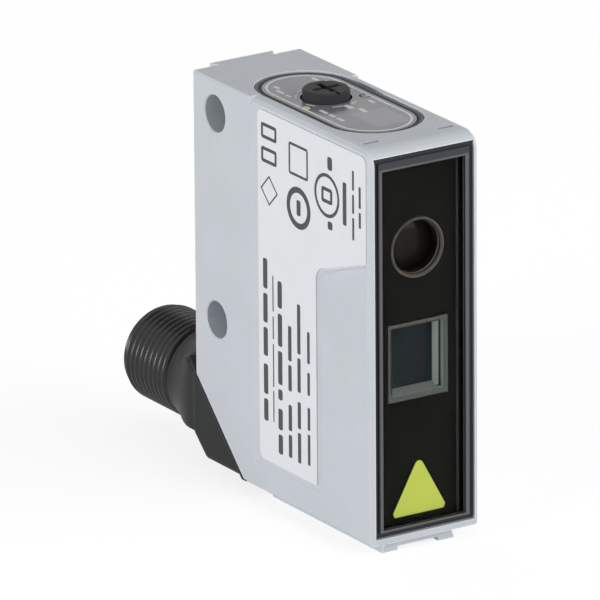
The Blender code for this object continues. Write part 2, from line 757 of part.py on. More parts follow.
def make_name_plate(mats, parts):
    """Bare foil plate bonded into the pocket on the near side."""
    inner = -HALF_WIDTH + POCKET_DEPTH - GLUE_LINE
    plate = outline("name_plate", [plate_outline()], "YZ", inner - PLATE_THICKNESS, inner, parts)
    paint(plate, mats["plate"])


def make_front_frame(mats, parts, guides):
    """Plastic frame in the front opening, held at the top by two snap noses."""
    rim_front = FRAME_FRONT + FRAME_RIM_STEP
    loop = rectangle(FRAME_HALF, FRAME_BOTTOM, FRAME_TOP)
    frame = outline("front_frame", [loop], "XZ", rim_front, FRAME_BACK, parts)
    half, low, high = FRAME_HALF - FRAME_RIM, FRAME_BOTTOM + FRAME_RIM, FRAME_TOP - FRAME_RIM
    loop = rectangle(half, low, high)
    bead = outline("frame_bead", [loop], "XZ", FRAME_FRONT, rim_front + FRAME_RIM_STEP, guides)
    round_edges(bead, FRAME_BEAD_CHAMFER, 1)
    join(frame, bead)
    half, low, high = half - FRAME_BEAD_SIDE, low + FRAME_BEAD_BOTTOM, high - FRAME_BEAD_TOP
    chamfer = FRAME_BEAD_CHAMFER
    sections = []
    for y, grow in ((FRAME_FRONT - chamfer, 2 * chamfer), (FRAME_FRONT + chamfer, 0.0), (FRAME_BACK + OVERRUN, 0.0)):
        loop = rectangle(half + grow, low - grow, high + grow)
        sections.append([(x, y, z) for x, z in loop])
    cut(frame, loft("frame_opening", sections, guides))
    pocket = [rectangle(FRAME_HALF - FRAME_SKIRT, FRAME_BOTTOM + FRAME_SKIRT, FRAME_TOP - FRAME_SKIRT)]
    pocket_front = FRAME_FRONT + FRAME_FLANGE
    cut(frame, outline("glass_pocket", pocket, "XZ", pocket_front, FRAME_BACK + OVERRUN, guides))
    nose_front = FRONT + SNAP_FROM_FRONT + FIT
    for index, x in enumerate(snap_places(), 1):
        reach = SNAP_WIDTH / 2 - FIT
        low_corner = (x - reach, nose_front, FRAME_TOP - FRAME_SKIRT / 2)
        high_corner = (x + reach, nose_front + SNAP_LENGTH - 2 * FIT, FRAME_TOP + SNAP_NOSE)
        join(frame, box(f"snap_nose_{index}", low_corner, high_corner, guides))
    paint(frame, mats["frame"])


def make_gasket(mats, parts):
    """Flat seal between the frame and the shoulder inside the housing."""
    outside = rectangle(FRAME_HALF, FRAME_BOTTOM, FRAME_TOP)
    inside = rectangle(FRAME_HALF - GASKET_WIDTH, FRAME_BOTTOM + GASKET_WIDTH, FRAME_TOP - GASKET_WIDTH)
    back = SHOULDER - FIT
    gasket = outline("front_gasket", [outside, inside], "XZ", back - GASKET_THICKNESS, back, parts)
    paint(gasket, mats["rubber"])


def make_front_glass(mats, parts):
    """Clear pane behind the frame's flange."""
    loop = rectangle(PANE_HALF, PANE_BOTTOM, PANE_TOP, GLASS_CORNER)
    glass = outline("front_glass", [loop], "XZ", GLASS_FRONT, GLASS_BACK, parts)
    paint(glass, mats["glass"])


def make_optics_carrier(mats, parts, guides):
    """Black carrier: the mask behind the glass and the tubes that hold both lenses."""
    mask = rectangle(PANE_HALF, PANE_BOTTOM, PANE_TOP, GLASS_CORNER)
    border_front = MASK_FRONT - MASK_BORDER_RISE
    carrier = outline("optics_carrier", [mask], "XZ", border_front, MASK_BACK, parts)
    border = MASK_BORDER
    low = PANE_BOTTOM + MASK_BORDER_BOTTOM
    inside = rectangle(PANE_HALF - border, low, PANE_TOP - border, GLASS_CORNER)
    cut(carrier, outline("mask_hollow", [inside], "XZ", border_front - OVERRUN, MASK_FRONT, guides))
    root = (MASK_FRONT + MASK_BACK) / 2
    bore = TRANSMITTER_DIAMETER / 2 + FIT
    start = (0.0, root, TRANSMITTER_Z)
    length = TRANSMITTER_END - root
    join(carrier, rod("transmitter_tube", bore + TUBE_WALL, length, start, BACKWARDS, guides, 36))
    half_x, half_z = RECEIVER_WIDTH / 2 + FIT, RECEIVER_TALL / 2 + FIT
    reach = half_z + TUBE_WALL
    outside = rectangle(half_x + TUBE_WALL, RECEIVER_Z - reach, RECEIVER_Z + reach)
    join(carrier, outline("receiver_tube", [outside], "XZ", root, RECEIVER_END, guides))
    start = (0.0, MASK_FRONT - OVERRUN, TRANSMITTER_Z)
    length = TRANSMITTER_TUBE + 2 * OVERRUN
    cut(carrier, rod("transmitter_hole", bore, length, start, BACKWARDS, guides, 36))
    hole = rectangle(half_x, RECEIVER_Z - half_z, RECEIVER_Z + half_z)
    back = RECEIVER_END + OVERRUN
    cut(carrier, outline("receiver_hole", [hole], "XZ", MASK_FRONT - OVERRUN, back, guides))
    paint(carrier, mats["mask"])


def make_transmitter_front(mats, parts):
    """Chamfered ring in the mask's round opening, and the collimator lens behind it."""
    radius, bore = TRANSMITTER_DIAMETER / 2, TRANSMITTER_BORE / 2
    lip = (radius + bore) / 2
    depth = APERTURE_DEPTH
    profile = [(radius, depth), (radius, 0.0), (bore, 0.0), (bore, depth - (lip - bore)), (lip, depth)]
    start = (0.0, MASK_FRONT + depth, TRANSMITTER_Z)
    paint(turned("transmitter_ring", profile, start, FORWARDS, parts, 40), mats["ring"])
    rows = 6
    dome = []
    for index in range(rows + 1):
        share = index / rows
        dome.append((radius * share, LENS_THICKNESS + LENS_CROWN * (1 - share * share)))
    start = (0.0, LENS_FRONT + LENS_THICKNESS + LENS_CROWN, TRANSMITTER_Z)
    lens = turned("transmitter_lens", dome + [(radius, 0.0), (0.0, 0.0)], start, FORWARDS, parts, 36)
    paint(lens, mats["lens"])


def diode_leads():
    """Places of the three leads round the beam's axis, as (x, z)."""
    places = []
    for index in range(3):
        angle = math.radians(90 + 120 * index)
        radius = DIODE_LEAD_CIRCLE / 2
        places.append((radius * math.cos(angle), TRANSMITTER_Z + radius * math.sin(angle)))
    return places


def make_laser(mats, parts, guides):
    """Laser diode in its brass holder, and the small board on its leads."""
    seat, can = DIODE_DIAMETER / 2 + FIT, DIODE_CAN / 2 + FIT
    outer = TRANSMITTER_DIAMETER / 2
    length, shelf = HOLDER_LENGTH, HOLDER_LENGTH - DIODE_FLANGE - FIT
    profile = [(outer, length), (outer, 0.0), (can, 0.0), (can, shelf), (seat, shelf), (seat, length)]
    start = (0.0, TRANSMITTER_END - length, TRANSMITTER_Z)
    paint(turned("laser_holder", profile, start, BACKWARDS, parts, 36), mats["brass"])
    flange, body = DIODE_DIAMETER / 2, DIODE_CAN / 2
    nose = DIODE_FLANGE - DIODE_LENGTH
    profile = [(0.0, DIODE_FLANGE), (flange, DIODE_FLANGE), (flange, 0.0), (body, 0.0), (body, nose), (0.0, nose)]
    start = (0.0, TRANSMITTER_END - DIODE_FLANGE, TRANSMITTER_Z)
    diode = turned("laser_diode", profile, start, BACKWARDS, parts)
    board_front = TRANSMITTER_END + LASER_BOARD_GAP
    half = LASER_BOARD_SIZE / 2
    low = (-half, board_front, TRANSMITTER_Z - half)
    board = box("laser_board", low, (half, board_front + BOARD_THICKNESS, TRANSMITTER_Z + half), parts)
    for index, (x, z) in enumerate(diode_leads(), 1):
        start = (x, TRANSMITTER_END - DIODE_FLANGE / 2, z)
        length = DIODE_LEAD_LENGTH + DIODE_FLANGE / 2
        join(diode, rod(f"diode_lead_{index}", DIODE_LEAD / 2, length, start, BACKWARDS, guides, 10))
        start = (x, board_front - OVERRUN / 2, z)
        length = BOARD_THICKNESS + OVERRUN
        cut(board, rod(f"lead_hole_{index}", DIODE_LEAD / 2 + FIT, length, start, BACKWARDS, guides, 12))
    paint(diode, mats["steel"])
    paint(board, mats["board"])


def receiver_section(y, grow):
    """A section of the receiver's tapered opening."""
    half_x = RECEIVER_WIDTH / 2 - RECEIVER_RIM + grow
    half_z = RECEIVER_TALL / 2 - RECEIVER_RIM + grow
    return [(x, y, z) for x, z in rectangle(half_x, RECEIVER_Z - half_z, RECEIVER_Z + half_z)]


def make_receiver(mats, parts, guides):
    """Tapered rim, square lens, detector chip and the board that carries it."""
    loop = rectangle(RECEIVER_WIDTH / 2, RECEIVER_Z - RECEIVER_TALL / 2, RECEIVER_Z + RECEIVER_TALL / 2)
    rim_back = MASK_FRONT + APERTURE_DEPTH
    rim = outline("receiver_rim", [loop], "XZ", MASK_FRONT, rim_back, parts)
    beyond = OVERRUN / APERTURE_DEPTH * RECEIVER_TAPER
    near = receiver_section(MASK_FRONT - OVERRUN, beyond)
    far = receiver_section(rim_back + OVERRUN, -RECEIVER_TAPER - beyond)
    cut(rim, loft("receiver_taper", [near, far], guides))
    paint(rim, mats["rim"])
    lens = outline("receiver_lens", [loop], "XZ", LENS_FRONT, LENS_FRONT + LENS_THICKNESS, parts)
    round_edges(lens, LENS_CROWN / 2)
    paint(lens, mats["lens"])
    front = SENSOR_BOARD_FRONT
    half = SENSOR_BOARD_TALL / 2
    low = (-BOARD_HALF, front, RECEIVER_Z - half)
    board = box("sensor_board", low, (BOARD_HALF, front + BOARD_THICKNESS, RECEIVER_Z + half), parts)
    paint(board, mats["board"])
    low = (-DETECTOR_WIDTH / 2, front - FIT - DETECTOR_THICKNESS, RECEIVER_Z - DETECTOR_TALL / 2)
    high = (DETECTOR_WIDTH / 2, front - FIT, RECEIVER_Z + DETECTOR_TALL / 2)
    paint(box("detector_chip", low, high, parts), mats["chip"])


def make_main_board(mats, parts):
    """Upright main board with its processor, in slots of the side walls."""
    front = MAIN_BOARD_FRONT
    high = CONTROL_BOARD_BOTTOM - FIT
    low = BOTTOM + MAIN_BOARD_FOOT
    board = box("main_board", (-BOARD_HALF, front, low), (BOARD_HALF, front + BOARD_THICKNESS, high), parts)
    paint(board, mats["board"])
    middle = (low + high) / 2
    half = CHIP_SIZE / 2
    low_corner = (-half, front - FIT - CHIP_THICKNESS, middle - half)
    chip = box("processor", low_corner, (half, front - FIT, middle + half), parts)
    paint(chip, mats["chip"])


def make_control_panel(mats, parts, guides):
    """Seal, window, board and lamps of the oval opening on top."""
    outer_width, outer_length = PANEL_WIDTH - 2 * FIT, PANEL_LENGTH - 2 * FIT
    inner = 2 * SEAL_WIDTH
    outside = obround(outer_width, outer_length, PANEL_Y)
    inside = obround(outer_width - inner, outer_length - inner, PANEL_Y)
    low = PANEL_FLOOR + FIT
    seal = outline("panel_seal", [outside, inside], "XY", low, low + SEAL_THICKNESS, parts)
    paint(seal, mats["rubber"])
    edge = inner + 2 * FIT
    loop = obround(outer_width - edge, outer_length - edge, PANEL_Y)
    window = outline("panel_window", [loop], "XY", WINDOW_BOTTOM, WINDOW_TOP, parts)
    depth = WINDOW_THICKNESS + 2 * OVERRUN
    low = WINDOW_BOTTOM - OVERRUN
    radius = KNOB_DIAMETER / 2 + ROUND_FIT
    cut(window, rod("knob_opening", radius, depth, (0.0, KNOB_Y, low), UPWARDS, guides, 36))
    board_back = CAVITY_BACK - BOARD_SLOT
    low_corner = (-BOARD_HALF, FRONT + CONTROL_BOARD_FROM_FRONT, CONTROL_BOARD_BOTTOM)
    board = box("control_board", low_corner, (BOARD_HALF, board_back, CONTROL_BOARD_TOP), parts)
    paint(board, mats["board"])
    radius, foot = LAMP_DIAMETER / 2, LAMP_FOOT_DIAMETER / 2
    height = WINDOW_TOP - CONTROL_BOARD_TOP - FIT
    profile = [(0.0, height), (radius - LAMP_DOME, height), (radius, height - LAMP_DOME)]
    profile += [(radius, LAMP_FOOT), (foot, LAMP_FOOT), (foot, 0.0), (0.0, 0.0)]
    for name, side, look in (("lamp_green", -1, "green"), ("lamp_amber", 1, "amber")):
        x = side * LAMP_SPACING / 2
        hole = rod(name + "_hole", radius + FIT, depth, (x, LAMP_Y, low), UPWARDS, guides, 20)
        cut(window, hole)
        start = (x, LAMP_Y, CONTROL_BOARD_TOP + FIT)
        paint(turned(name, profile, start, UPWARDS, parts, 20), mats[look])
    paint(window, mats["window"])


def make_knob(mats, parts, guides):
    """Selector switch: its body on the board, its ring and its turning knob."""
    half, shaft = SWITCH_SIZE / 2, KNOB_SHAFT / 2
    low = (-half, KNOB_Y - half, CONTROL_BOARD_TOP + FIT)
    switch = box("switch_body", low, (half, KNOB_Y + half, SWITCH_TOP), parts)
    socket_floor = SWITCH_TOP - SWITCH_SOCKET
    length = SWITCH_SOCKET + OVERRUN
    start = (0.0, KNOB_Y, socket_floor)
    cut(switch, rod("switch_socket", shaft + ROUND_FIT, length, start, UPWARDS, guides, 24))
    paint(switch, mats["chip"])
    section = KNOB_RING_SECTION / 2
    profile = arc((shaft + ROUND_FIT + section, 0.0), section, 90, -225, 7)
    start = (0.0, KNOB_Y, SWITCH_TOP + FIT + section)
    paint(turned("knob_ring", profile, start, UPWARDS, parts, 24), mats["rubber"])
    radius = KNOB_DIAMETER / 2
    top = TOP + KNOB_RISE
    foot = socket_floor + ROUND_FIT
    skirt = SWITCH_TOP + 2 * FIT + KNOB_RING_SECTION - foot
    height = top - foot
    profile = [(0.0, height), (radius - KNOB_CHAMFER, height), (radius, height - KNOB_CHAMFER)]
    profile += [(radius, skirt), (shaft, skirt), (shaft, 0.0), (0.0, 0.0)]
    knob = turned("selector_knob", profile, (0.0, KNOB_Y, foot), UPWARDS, parts, 40)
    across, along = KNOB_SLOT_WIDTH / 2, KNOB_SLOT_LENGTH / 2
    low = (-across, KNOB_Y - along, top - KNOB_SLOT_DEPTH)
    cut(knob, box("knob_slot", low, (across, KNOB_Y + along, top + OVERRUN), guides))
    low = (-along, KNOB_Y - across, top - KNOB_SLOT_DEPTH + FIT)
    cut(knob, box("knob_cross_slot", low, (along, KNOB_Y + across, top + OVERRUN), guides))
    low = (-across / 2, KNOB_Y - radius - OVERRUN, top - KNOB_MARK_DEPTH)
    high = (across / 2, KNOB_Y - along - KNOB_CHAMFER, top + OVERRUN)
    cut(knob, box("knob_mark", low, high, guides))
    paint(knob, mats["knob"])


def make_patch(mats, parts):
    """Plain yellow-green foil on the mask, below the receiver."""
    low = BOTTOM + PATCH_FROM_BOTTOM
    wide, narrow = PATCH_WIDTH / 2, PATCH_TOP_WIDTH / 2
    half_edge = PATCH_EDGE / 2
    shoulder, high = low + PATCH_EDGE, low + PATCH_TALL
    loop = [(half_edge - wide, low), (wide - half_edge, low), (wide, shoulder), (narrow, high - half_edge)]
    loop += [(narrow / 2, high), (-narrow / 2, high), (-narrow, high - half_edge), (-wide, shoulder)]
    back = MASK_FRONT - GLUE_LINE
    patch = outline("colour_patch", [loop], "XZ", back - PATCH_THICKNESS, back, parts)
    paint(patch, mats["patch"])


def swivel_block(parts):
    """Corner block behind the flange, its side profile drawn across the width."""
    low = BOTTOM + BLOCK_INSET
    profile = [(BLOCK_START + BLOCK_INSET, low), (BLOCK_END - BLOCK_CHAMFER, low)]
    profile += [(BLOCK_END, low + BLOCK_CHAMFER_RISE), (BLOCK_END, BOTTOM + BLOCK_END - BLOCK_START)]
    block = outline("swivel_body", [profile], "YZ", -BLOCK_WIDTH / 2, BLOCK_WIDTH / 2, parts)
    round_edges(block, BLOCK_ROUND)
    return block


def swivel_flange(guides):
    """Thin flange that turns flat against the slanted face of the housing."""
    thick = FLANGE_THICKNESS * math.sqrt(2)
    near, end = SWIVEL_START, BLOCK_END + FIT
    profile = [(near, BOTTOM), (near + thick, BOTTOM), (end, BOTTOM + end - near - thick)]
    profile += [(end, BOTTOM + end - near)]
    return outline("swivel_flange", [profile], "YZ", -FLANGE_WIDTH / 2, FLANGE_WIDTH / 2, guides)


def neck_corners(top):
    """Corners of the neck's root, as (x, z) from the plug's axis, and how finely each side splits."""
    half = BLOCK_WIDTH / 2 - FIT
    inner = half - NECK_CHAMFER_WIDTH
    low = BOTTOM + BLOCK_INSET + BLOCK_CHAMFER_RISE + FIT - PLUG_Z
    top = top - PLUG_Z
    side = top - NECK_CHAMFER_HEIGHT
    return [((half, low), 7), ((half, side), 4), ((inner, top), 8), ((-inner, top), 4),
            ((-half, side), 7), ((-half, low), 12)]


def neck_section(corners, y, blend):
    """A section of the neck between its chamfered root (blend 0) and a circle (blend 1)."""
    points = []
    for index, (corner, count) in enumerate(corners):
        after = corners[(index + 1) % len(corners)][0]
        for part in range(count):
            share = part / count
            x = corner[0] + (after[0] - corner[0]) * share
            z = corner[1] + (after[1] - corner[1]) * share
            scale = 1 - blend + blend * NECK_DIAMETER / 2 / math.hypot(x, z)
            points.append((x * scale, y, PLUG_Z + z * scale))
    return points


def swivel_neck(guides):
    """Neck lofted from the block's chamfered back to the round of the plug."""
    first, shoulder, last = BLOCK_END - NECK_ROOT, BLOCK_END + NECK_SHOULDER, THREAD_FRONT - FIT
    sections = [neck_section(neck_corners(BOTTOM + first - BLOCK_START - FIT), first, 0.0)]
    corners = neck_corners(BOTTOM + NECK_TOP)
    rows = 8
    for row in range(rows + 1):
        share = row / rows
        blend = share * share * (3 - 2 * share)
        sections.append(neck_section(corners, shoulder + (last - shoulder) * share, blend))
    return loft("swivel_neck", sections, guides)


def swivel_stem(guides):
    """Stem through the slanted wall, with a groove for its seal and one for its clip."""
    radius = STEM_DIAMETER / 2
    groove = radius - STEM_GROOVE - FIT
    seal = PIVOT_WALL / 2
    half_seal = SEAL_RING_SECTION / 2 + FIT
    clip = PIVOT_WALL + FIT
    clip_end = clip + CLIP_THICKNESS + 2 * FIT
    end = clip_end + STEM_END
    root = -FLANGE_THICKNESS
    profile = [(0.0, end), (radius, end), (radius, clip_end), (groove, clip_end), (groove, clip)]
    profile += [(radius, clip), (radius, seal + half_seal), (groove, seal + half_seal)]
    profile += [(groove, seal - half_seal), (radius, seal - half_seal), (radius, root), (0.0, root)]
    return turned("swivel_stem", profile, PIVOT, INWARDS, guides, 36)


def make_swivel(mats, parts, guides):
    """Swivel body: flange, corner block, neck, spigot and the stem it turns on."""
    block = swivel_block(parts)
    join(block, swivel_flange(guides))
    join(block, swivel_neck(guides))
    start = (0.0, THREAD_FRONT - OVERRUN, PLUG_Z)
    length = OVERRUN + SPIGOT_LENGTH
    join(block, rod("swivel_spigot", SOCKET_DIAMETER / 2 - FIT, length, start, BACKWARDS, guides, 36))
    join(block, swivel_stem(guides))
    paint(block, mats["plug"])


def make_pivot_parts(mats, parts, guides):
    """Seal ring in the wall's bore and the clip that keeps the stem in."""
    radius = STEM_DIAMETER / 2
    groove = radius - STEM_GROOVE - FIT
    outer = radius + ROUND_FIT
    middle = (groove + outer) / 2
    half = (outer - groove) / 2 - FIT / 2
    oval = arc((0.0, 0.0), 1.0, 90, -225, 7)
    profile = [(middle + half * r, SEAL_RING_SECTION / 2 * z) for r, z in oval]
    start = PIVOT + INWARDS * PIVOT_WALL / 2
    paint(turned("pivot_seal", profile, start, INWARDS, parts, 36), mats["rubber"])
    inner = groove + FIT
    outer = inner + CLIP_WIDTH
    profile = [(outer, CLIP_THICKNESS), (outer, 0.0), (inner, 0.0), (inner, CLIP_THICKNESS)]
    start = PIVOT + INWARDS * (PIVOT_WALL + 2 * FIT)
    clip = turned("pivot_clip", profile, start, INWARDS, parts, 36)
    low = (-CLIP_MOUTH / 2, 0.0, -OVERRUN)
    mouth = box("clip_mouth", low, (CLIP_MOUTH / 2, outer + OVERRUN, CLIP_THICKNESS + OVERRUN), guides)
    turn = clip.rotation_quaternion
    middle = mouth.location.copy()
    mouth.rotation_mode = "QUATERNION"
    mouth.rotation_quaternion = turn
    mouth.location = start + turn @ middle
    cut(clip, mouth)
    paint(clip, mats["steel"])


def pin_places():
    """Places of the contact pins as (x, z): four on a circle and one in its middle."""
    radius = PIN_CIRCLE / 2
    angles = [math.radians(45 + 360 * index / PIN_COUNT) for index in range(PIN_COUNT)]
    places = [(radius * math.cos(angle), PLUG_Z + radius * math.sin(angle)) for angle in angles]
    return places + [(0.0, PLUG_Z)]


def thread_ridges():
    """Ring ridges from the sleeve's open end to its relief, as (radius, height)."""
    crest = THREAD_DIAMETER / 2
    root = crest - THREAD_DEPTH
    count = max(1, round((THREAD_LENGTH - THREAD_RELIEF) / THREAD_PITCH))
    pitch = (THREAD_LENGTH - THREAD_RELIEF) / count
    flank = (pitch - THREAD_CREST) / 2
    points = [(root, THREAD_LENGTH)]
    for index in range(count):
        high = THREAD_LENGTH - index * pitch
        points += [(crest, high - flank), (crest, high - pitch + flank), (root, high - pitch)]
    return points + [(root, 0.0)]


def make_plug(mats, parts, guides):
    """Threaded sleeve, contact carrier with its key, and the pins."""
    inner = SOCKET_DIAMETER / 2
    profile = thread_ridges() + [(inner, 0.0), (inner, THREAD_LENGTH)]
    sleeve = turned("threaded_sleeve", profile, (0.0, THREAD_FRONT, PLUG_Z), BACKWARDS, parts, 48)
    paint(sleeve, mats["plug"])
    near = THREAD_FRONT + SPIGOT_LENGTH + FIT
    face = near + INSERT_LENGTH
    radius = inner - FIT
    carrier = rod("contact_carrier", radius, INSERT_LENGTH, (0.0, near, PLUG_Z), BACKWARDS, parts, 36)
    root = face - INSERT_LENGTH / 2
    key_top = PLUG_Z + radius - FIT
    low = (-KEY_WIDTH / 2, root, key_top - KEY_HEIGHT)
    join(carrier, box("contact_key", low, (KEY_WIDTH / 2, face + KEY_LENGTH, key_top), guides))
    pin = PIN_DIAMETER / 2
    length = PIN_LENGTH + INSERT_LENGTH / 2 - FIT
    profile = [(0.0, length), (pin - PIN_TIP, length), (pin, length - PIN_TIP), (pin, 0.0), (0.0, 0.0)]
    for index, (x, z) in enumerate(pin_places(), 1):
        bore = rod(f"pin_bore_{index}", pin + FIT, INSERT_LENGTH, (x, root, z), BACKWARDS, guides, 16)
        cut(carrier, bore)
        start = (x, root + FIT, z)
        paint(turned(f"contact_pin_{index}", profile, start, BACKWARDS, parts, 16), mats["gold"])
    paint(carrier, mats["plug"])


def hang_on_axis(name, place, direction, pieces, group):
    """Parent the pieces that turn together to an empty on their joint's axis."""
    axis = bpy.data.objects.new(name, None)
    axis.empty_display_type = "SINGLE_ARROW"
    axis.empty_display_size = BODY_WIDTH
    group.objects.link(axis)
    aim(axis, place, direction)
    bpy.context.view_layer.update()
    for piece in pieces:
        item = bpy.data.objects[piece]
        item.parent = axis
        item.matrix_parent_inverse = axis.matrix_world.inverted()


def shade(group):
    """Smooth the round surfaces and keep the real edges sharp."""
    for item in group.objects:
        item.data.shade_smooth()
        item.data.set_sharp_from_angle(angle=math.radians(30))


def main():
    empty_scene()
    parts = add_collection("laser_distance_sensor")
    guides = add_collection("cutters_and_guides")
    mats = make_materials()
    make_housing(mats, parts, guides)
    make_name_plate(mats, parts)
    make_front_frame(mats, parts, guides)
    make_gasket(mats, parts)
    make_front_glass(mats, parts)
    make_optics_carrier(mats, parts, guides)
    make_transmitter_front(mats, parts)
    make_laser(mats, parts, guides)
    make_receiver(mats, parts, guides)
    make_main_board(mats, parts)
    make_control_panel(mats, parts, guides)
    make_knob(mats, parts, guides)
    make_patch(mats, parts)
    make_swivel(mats, parts, guides)
    make_pivot_parts(mats, parts, guides)
    make_plug(mats, parts, guides)
    turning = ["swivel_body", "pivot_seal", "pivot_clip", "threaded_sleeve", "contact_carrier"]
    turning += [f"contact_pin_{index}" for index in range(1, len(pin_places()) + 1)]
    hang_on_axis("swivel_axis", PIVOT, PIVOT_AXIS, turning, guides)
    hang_on_axis("knob_axis", (0.0, KNOB_Y, TOP), UPWARDS, ["selector_knob"], guides)
    shade(parts)


main()
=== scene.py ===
import json
import math

import bpy
from mathutils import Matrix, Vector


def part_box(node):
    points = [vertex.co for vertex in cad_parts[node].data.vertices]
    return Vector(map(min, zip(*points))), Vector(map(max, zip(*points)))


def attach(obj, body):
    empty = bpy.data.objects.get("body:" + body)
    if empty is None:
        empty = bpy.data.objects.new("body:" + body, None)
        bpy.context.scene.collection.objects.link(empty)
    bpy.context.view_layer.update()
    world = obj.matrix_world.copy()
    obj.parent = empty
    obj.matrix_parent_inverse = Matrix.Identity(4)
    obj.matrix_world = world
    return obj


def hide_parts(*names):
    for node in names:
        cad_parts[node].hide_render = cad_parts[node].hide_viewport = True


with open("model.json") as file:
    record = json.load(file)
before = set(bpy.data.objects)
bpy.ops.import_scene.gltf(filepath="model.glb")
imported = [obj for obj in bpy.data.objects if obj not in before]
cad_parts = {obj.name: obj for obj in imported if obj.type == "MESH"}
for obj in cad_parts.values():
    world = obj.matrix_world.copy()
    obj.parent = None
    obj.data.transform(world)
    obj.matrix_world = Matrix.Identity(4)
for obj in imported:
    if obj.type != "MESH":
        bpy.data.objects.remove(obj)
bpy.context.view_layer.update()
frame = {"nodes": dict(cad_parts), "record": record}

bl_info = {
    "name": "Laser Distance Sensor Dressing",
    "version": (1, 0, 0),
    "blender": (4, 5, 0),
    "location": "View3D > Sidebar > Sensor",
    "description": "Finishes a packed laser distance sensor with thread, trim, print and surface detail",
    "category": "Object",
}

MM = 0.001
THREAD_LOW, THREAD_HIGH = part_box("threaded_sleeve")
THREAD_MID = (THREAD_LOW + THREAD_HIGH) / 2
PLATE_LOW, PLATE_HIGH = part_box("name_plate")
RING_LOW, RING_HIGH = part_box("transmitter_ring")
RIM_LOW, RIM_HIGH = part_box("receiver_rim")
WINDOW_LOW, WINDOW_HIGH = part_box("panel_window")
KNOB_LOW, KNOB_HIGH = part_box("selector_knob")
FRAME_LOW, FRAME_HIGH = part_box("front_frame")
# The frame's opening: half its width, and its distance from the frame's top and foot
FRAME_OPENING = 5.70 * MM
FRAME_HEAD = 2.30 * MM
FRAME_FOOT = 0.80 * MM
# Width of the receiver rim's wall, radius of the transmitter ring's bore, and how far out the panel's strips lie
RIM_WALL = 1.10 * MM
RING_BORE = 3.25 * MM
STRIP_INNER, STRIP_OUTER = 5.20 * MM, 5.52 * MM
# The paler display field of the control window: middle and half size on X and Y
DISPLAY_MIDDLE = (1.2 * MM, -17.6 * MM)
DISPLAY_HALF = (2.3 * MM, 2.9 * MM)
# The threaded end: radius of its bore, the step round its mouth, where its thread starts and how long it runs out
THREAD_BORE = 4.4 * MM
THREAD_MOUTH = 0.35 * MM
THREAD_START = 0.1 * MM
THREAD_RUN = 0.7 * MM
# Share of the thread's depth that its ends sink by, and share of a radius past which a point lies on the outside
THREAD_SINK = 0.8
OUTSIDE = 0.98
THREAD_SIDES = 96
RINGS_PER_TURN = 12
# Printed ink starts a little inside what carries it
INK_SUNK = 0.004 * MM
INK_HEIGHT = 0.016 * MM
# Distance of the printed oval from the window's edge, and half the width of the arcs' lines in mm
OVAL_INSET = 0.42 * MM
ARC_HALF = 0.11
# The photograph's camera: angles in degrees, and shifts as parts of the frame's width
CAMERA_AZIMUTH, CAMERA_ELEVATION, CAMERA_ROLL = 32.808, 18.800, -0.353
CAMERA_LENS, CAMERA_SENSOR = 672.2, 36.0
CAMERA_SHIFT = (-35.83 / 600, 5.50 / 600)
FOCUS = Vector((0.0, -9.6 * MM, 24.5 * MM))
# Softboxes: name, place, size and watts
LIGHTS = (
    ("front_light", (0.75, -1.10, 0.45), (1.9, 0.9), 14.5),
    ("side_light", (-1.27, -0.15, 0.24), (0.6, 0.38), 9.2),
    ("top_light", (0.1, 0.2, 1.2), (0.8, 0.8), 0.2),
)
DAYLIGHT = 0.32
FLOOR_SIZE = 8.0
# Brightness of the floor: as it lights the object, and as the eye sees it, where it also glows a little
FLOOR_PLAIN, FLOOR_PALE, FLOOR_GLOW = 0.80, 0.34, 0.80


class SensorSizes(bpy.types.PropertyGroup):
    """Sizes of the fine detail that a user may change."""

    thread_pitch: bpy.props.FloatProperty(
        name="Thread pitch", description="Distance between two ridges of the plug's thread",
        default=1.0 * MM, min=0.4 * MM, max=2.0 * MM, precision=5, unit="LENGTH")
    thread_depth: bpy.props.FloatProperty(
        name="Thread depth", description="Height of the thread's ridges",
        default=0.5 * MM, min=0.1 * MM, max=0.7 * MM, precision=5, unit="LENGTH")
    print_line: bpy.props.FloatProperty(
        name="Print line", description="Width of the line printed round the control window",
        default=0.32 * MM, min=0.05 * MM, max=1.0 * MM, precision=5, unit="LENGTH")
    paint_grain: bpy.props.FloatProperty(
        name="Paint grain", description="Size of the grain in the housing's paint",
        default=0.22 * MM, min=0.05 * MM, max=2.0 * MM, precision=5, unit="LENGTH")
    camera_distance: bpy.props.FloatProperty(
        name="Camera distance", description="Distance of the camera from the housing's middle",
        default=1.3055, min=0.2, max=5.0, unit="LENGTH")


def colour(name, description, default):
    """A colour that a user may change."""
    return bpy.props.FloatVectorProperty(
        name=name, description=description, default=default, size=3, min=0.0, max=1.0, subtype="COLOR")


class SensorColours(bpy.types.PropertyGroup):
    """Colours of the finishes."""

    paint: colour("Housing paint", "Satin paint on the die casting", (0.578, 0.610, 0.652))
    foil: colour("Plate foil", "Bare foil of the name plate", (0.775, 0.790, 0.815))
    foil_print: colour("Plate print", "Plain fields printed on the name plate", (0.055, 0.055, 0.060))
    trim: colour("Front frame", "Dark plastic round the front opening", (0.021, 0.024, 0.029))
    optics: colour("Optics panel", "Black plastic behind the front glass", (0.0068, 0.0070, 0.0054))
    ring: colour("Transmitter ring", "Anodised ring of the round window", (0.075, 0.062, 0.052))
    rim: colour("Receiver rim", "Plastic rim of the square window", (0.064, 0.076, 0.064))
    patch: colour("Foil patch", "Plain patch under the windows", (0.415, 0.470, 0.050))
    window: colour("Control window", "Smoked window on top", (0.205, 0.207, 0.225))
    window_print: colour("Window print", "Lines printed on the control window", (0.720, 0.730, 0.750))
    knob: colour("Selector knob", "Dark plastic of the knob", (0.046, 0.043, 0.047))
    plug: colour("Plug plastic", "Black glass-filled plastic", (0.021, 0.022, 0.023))


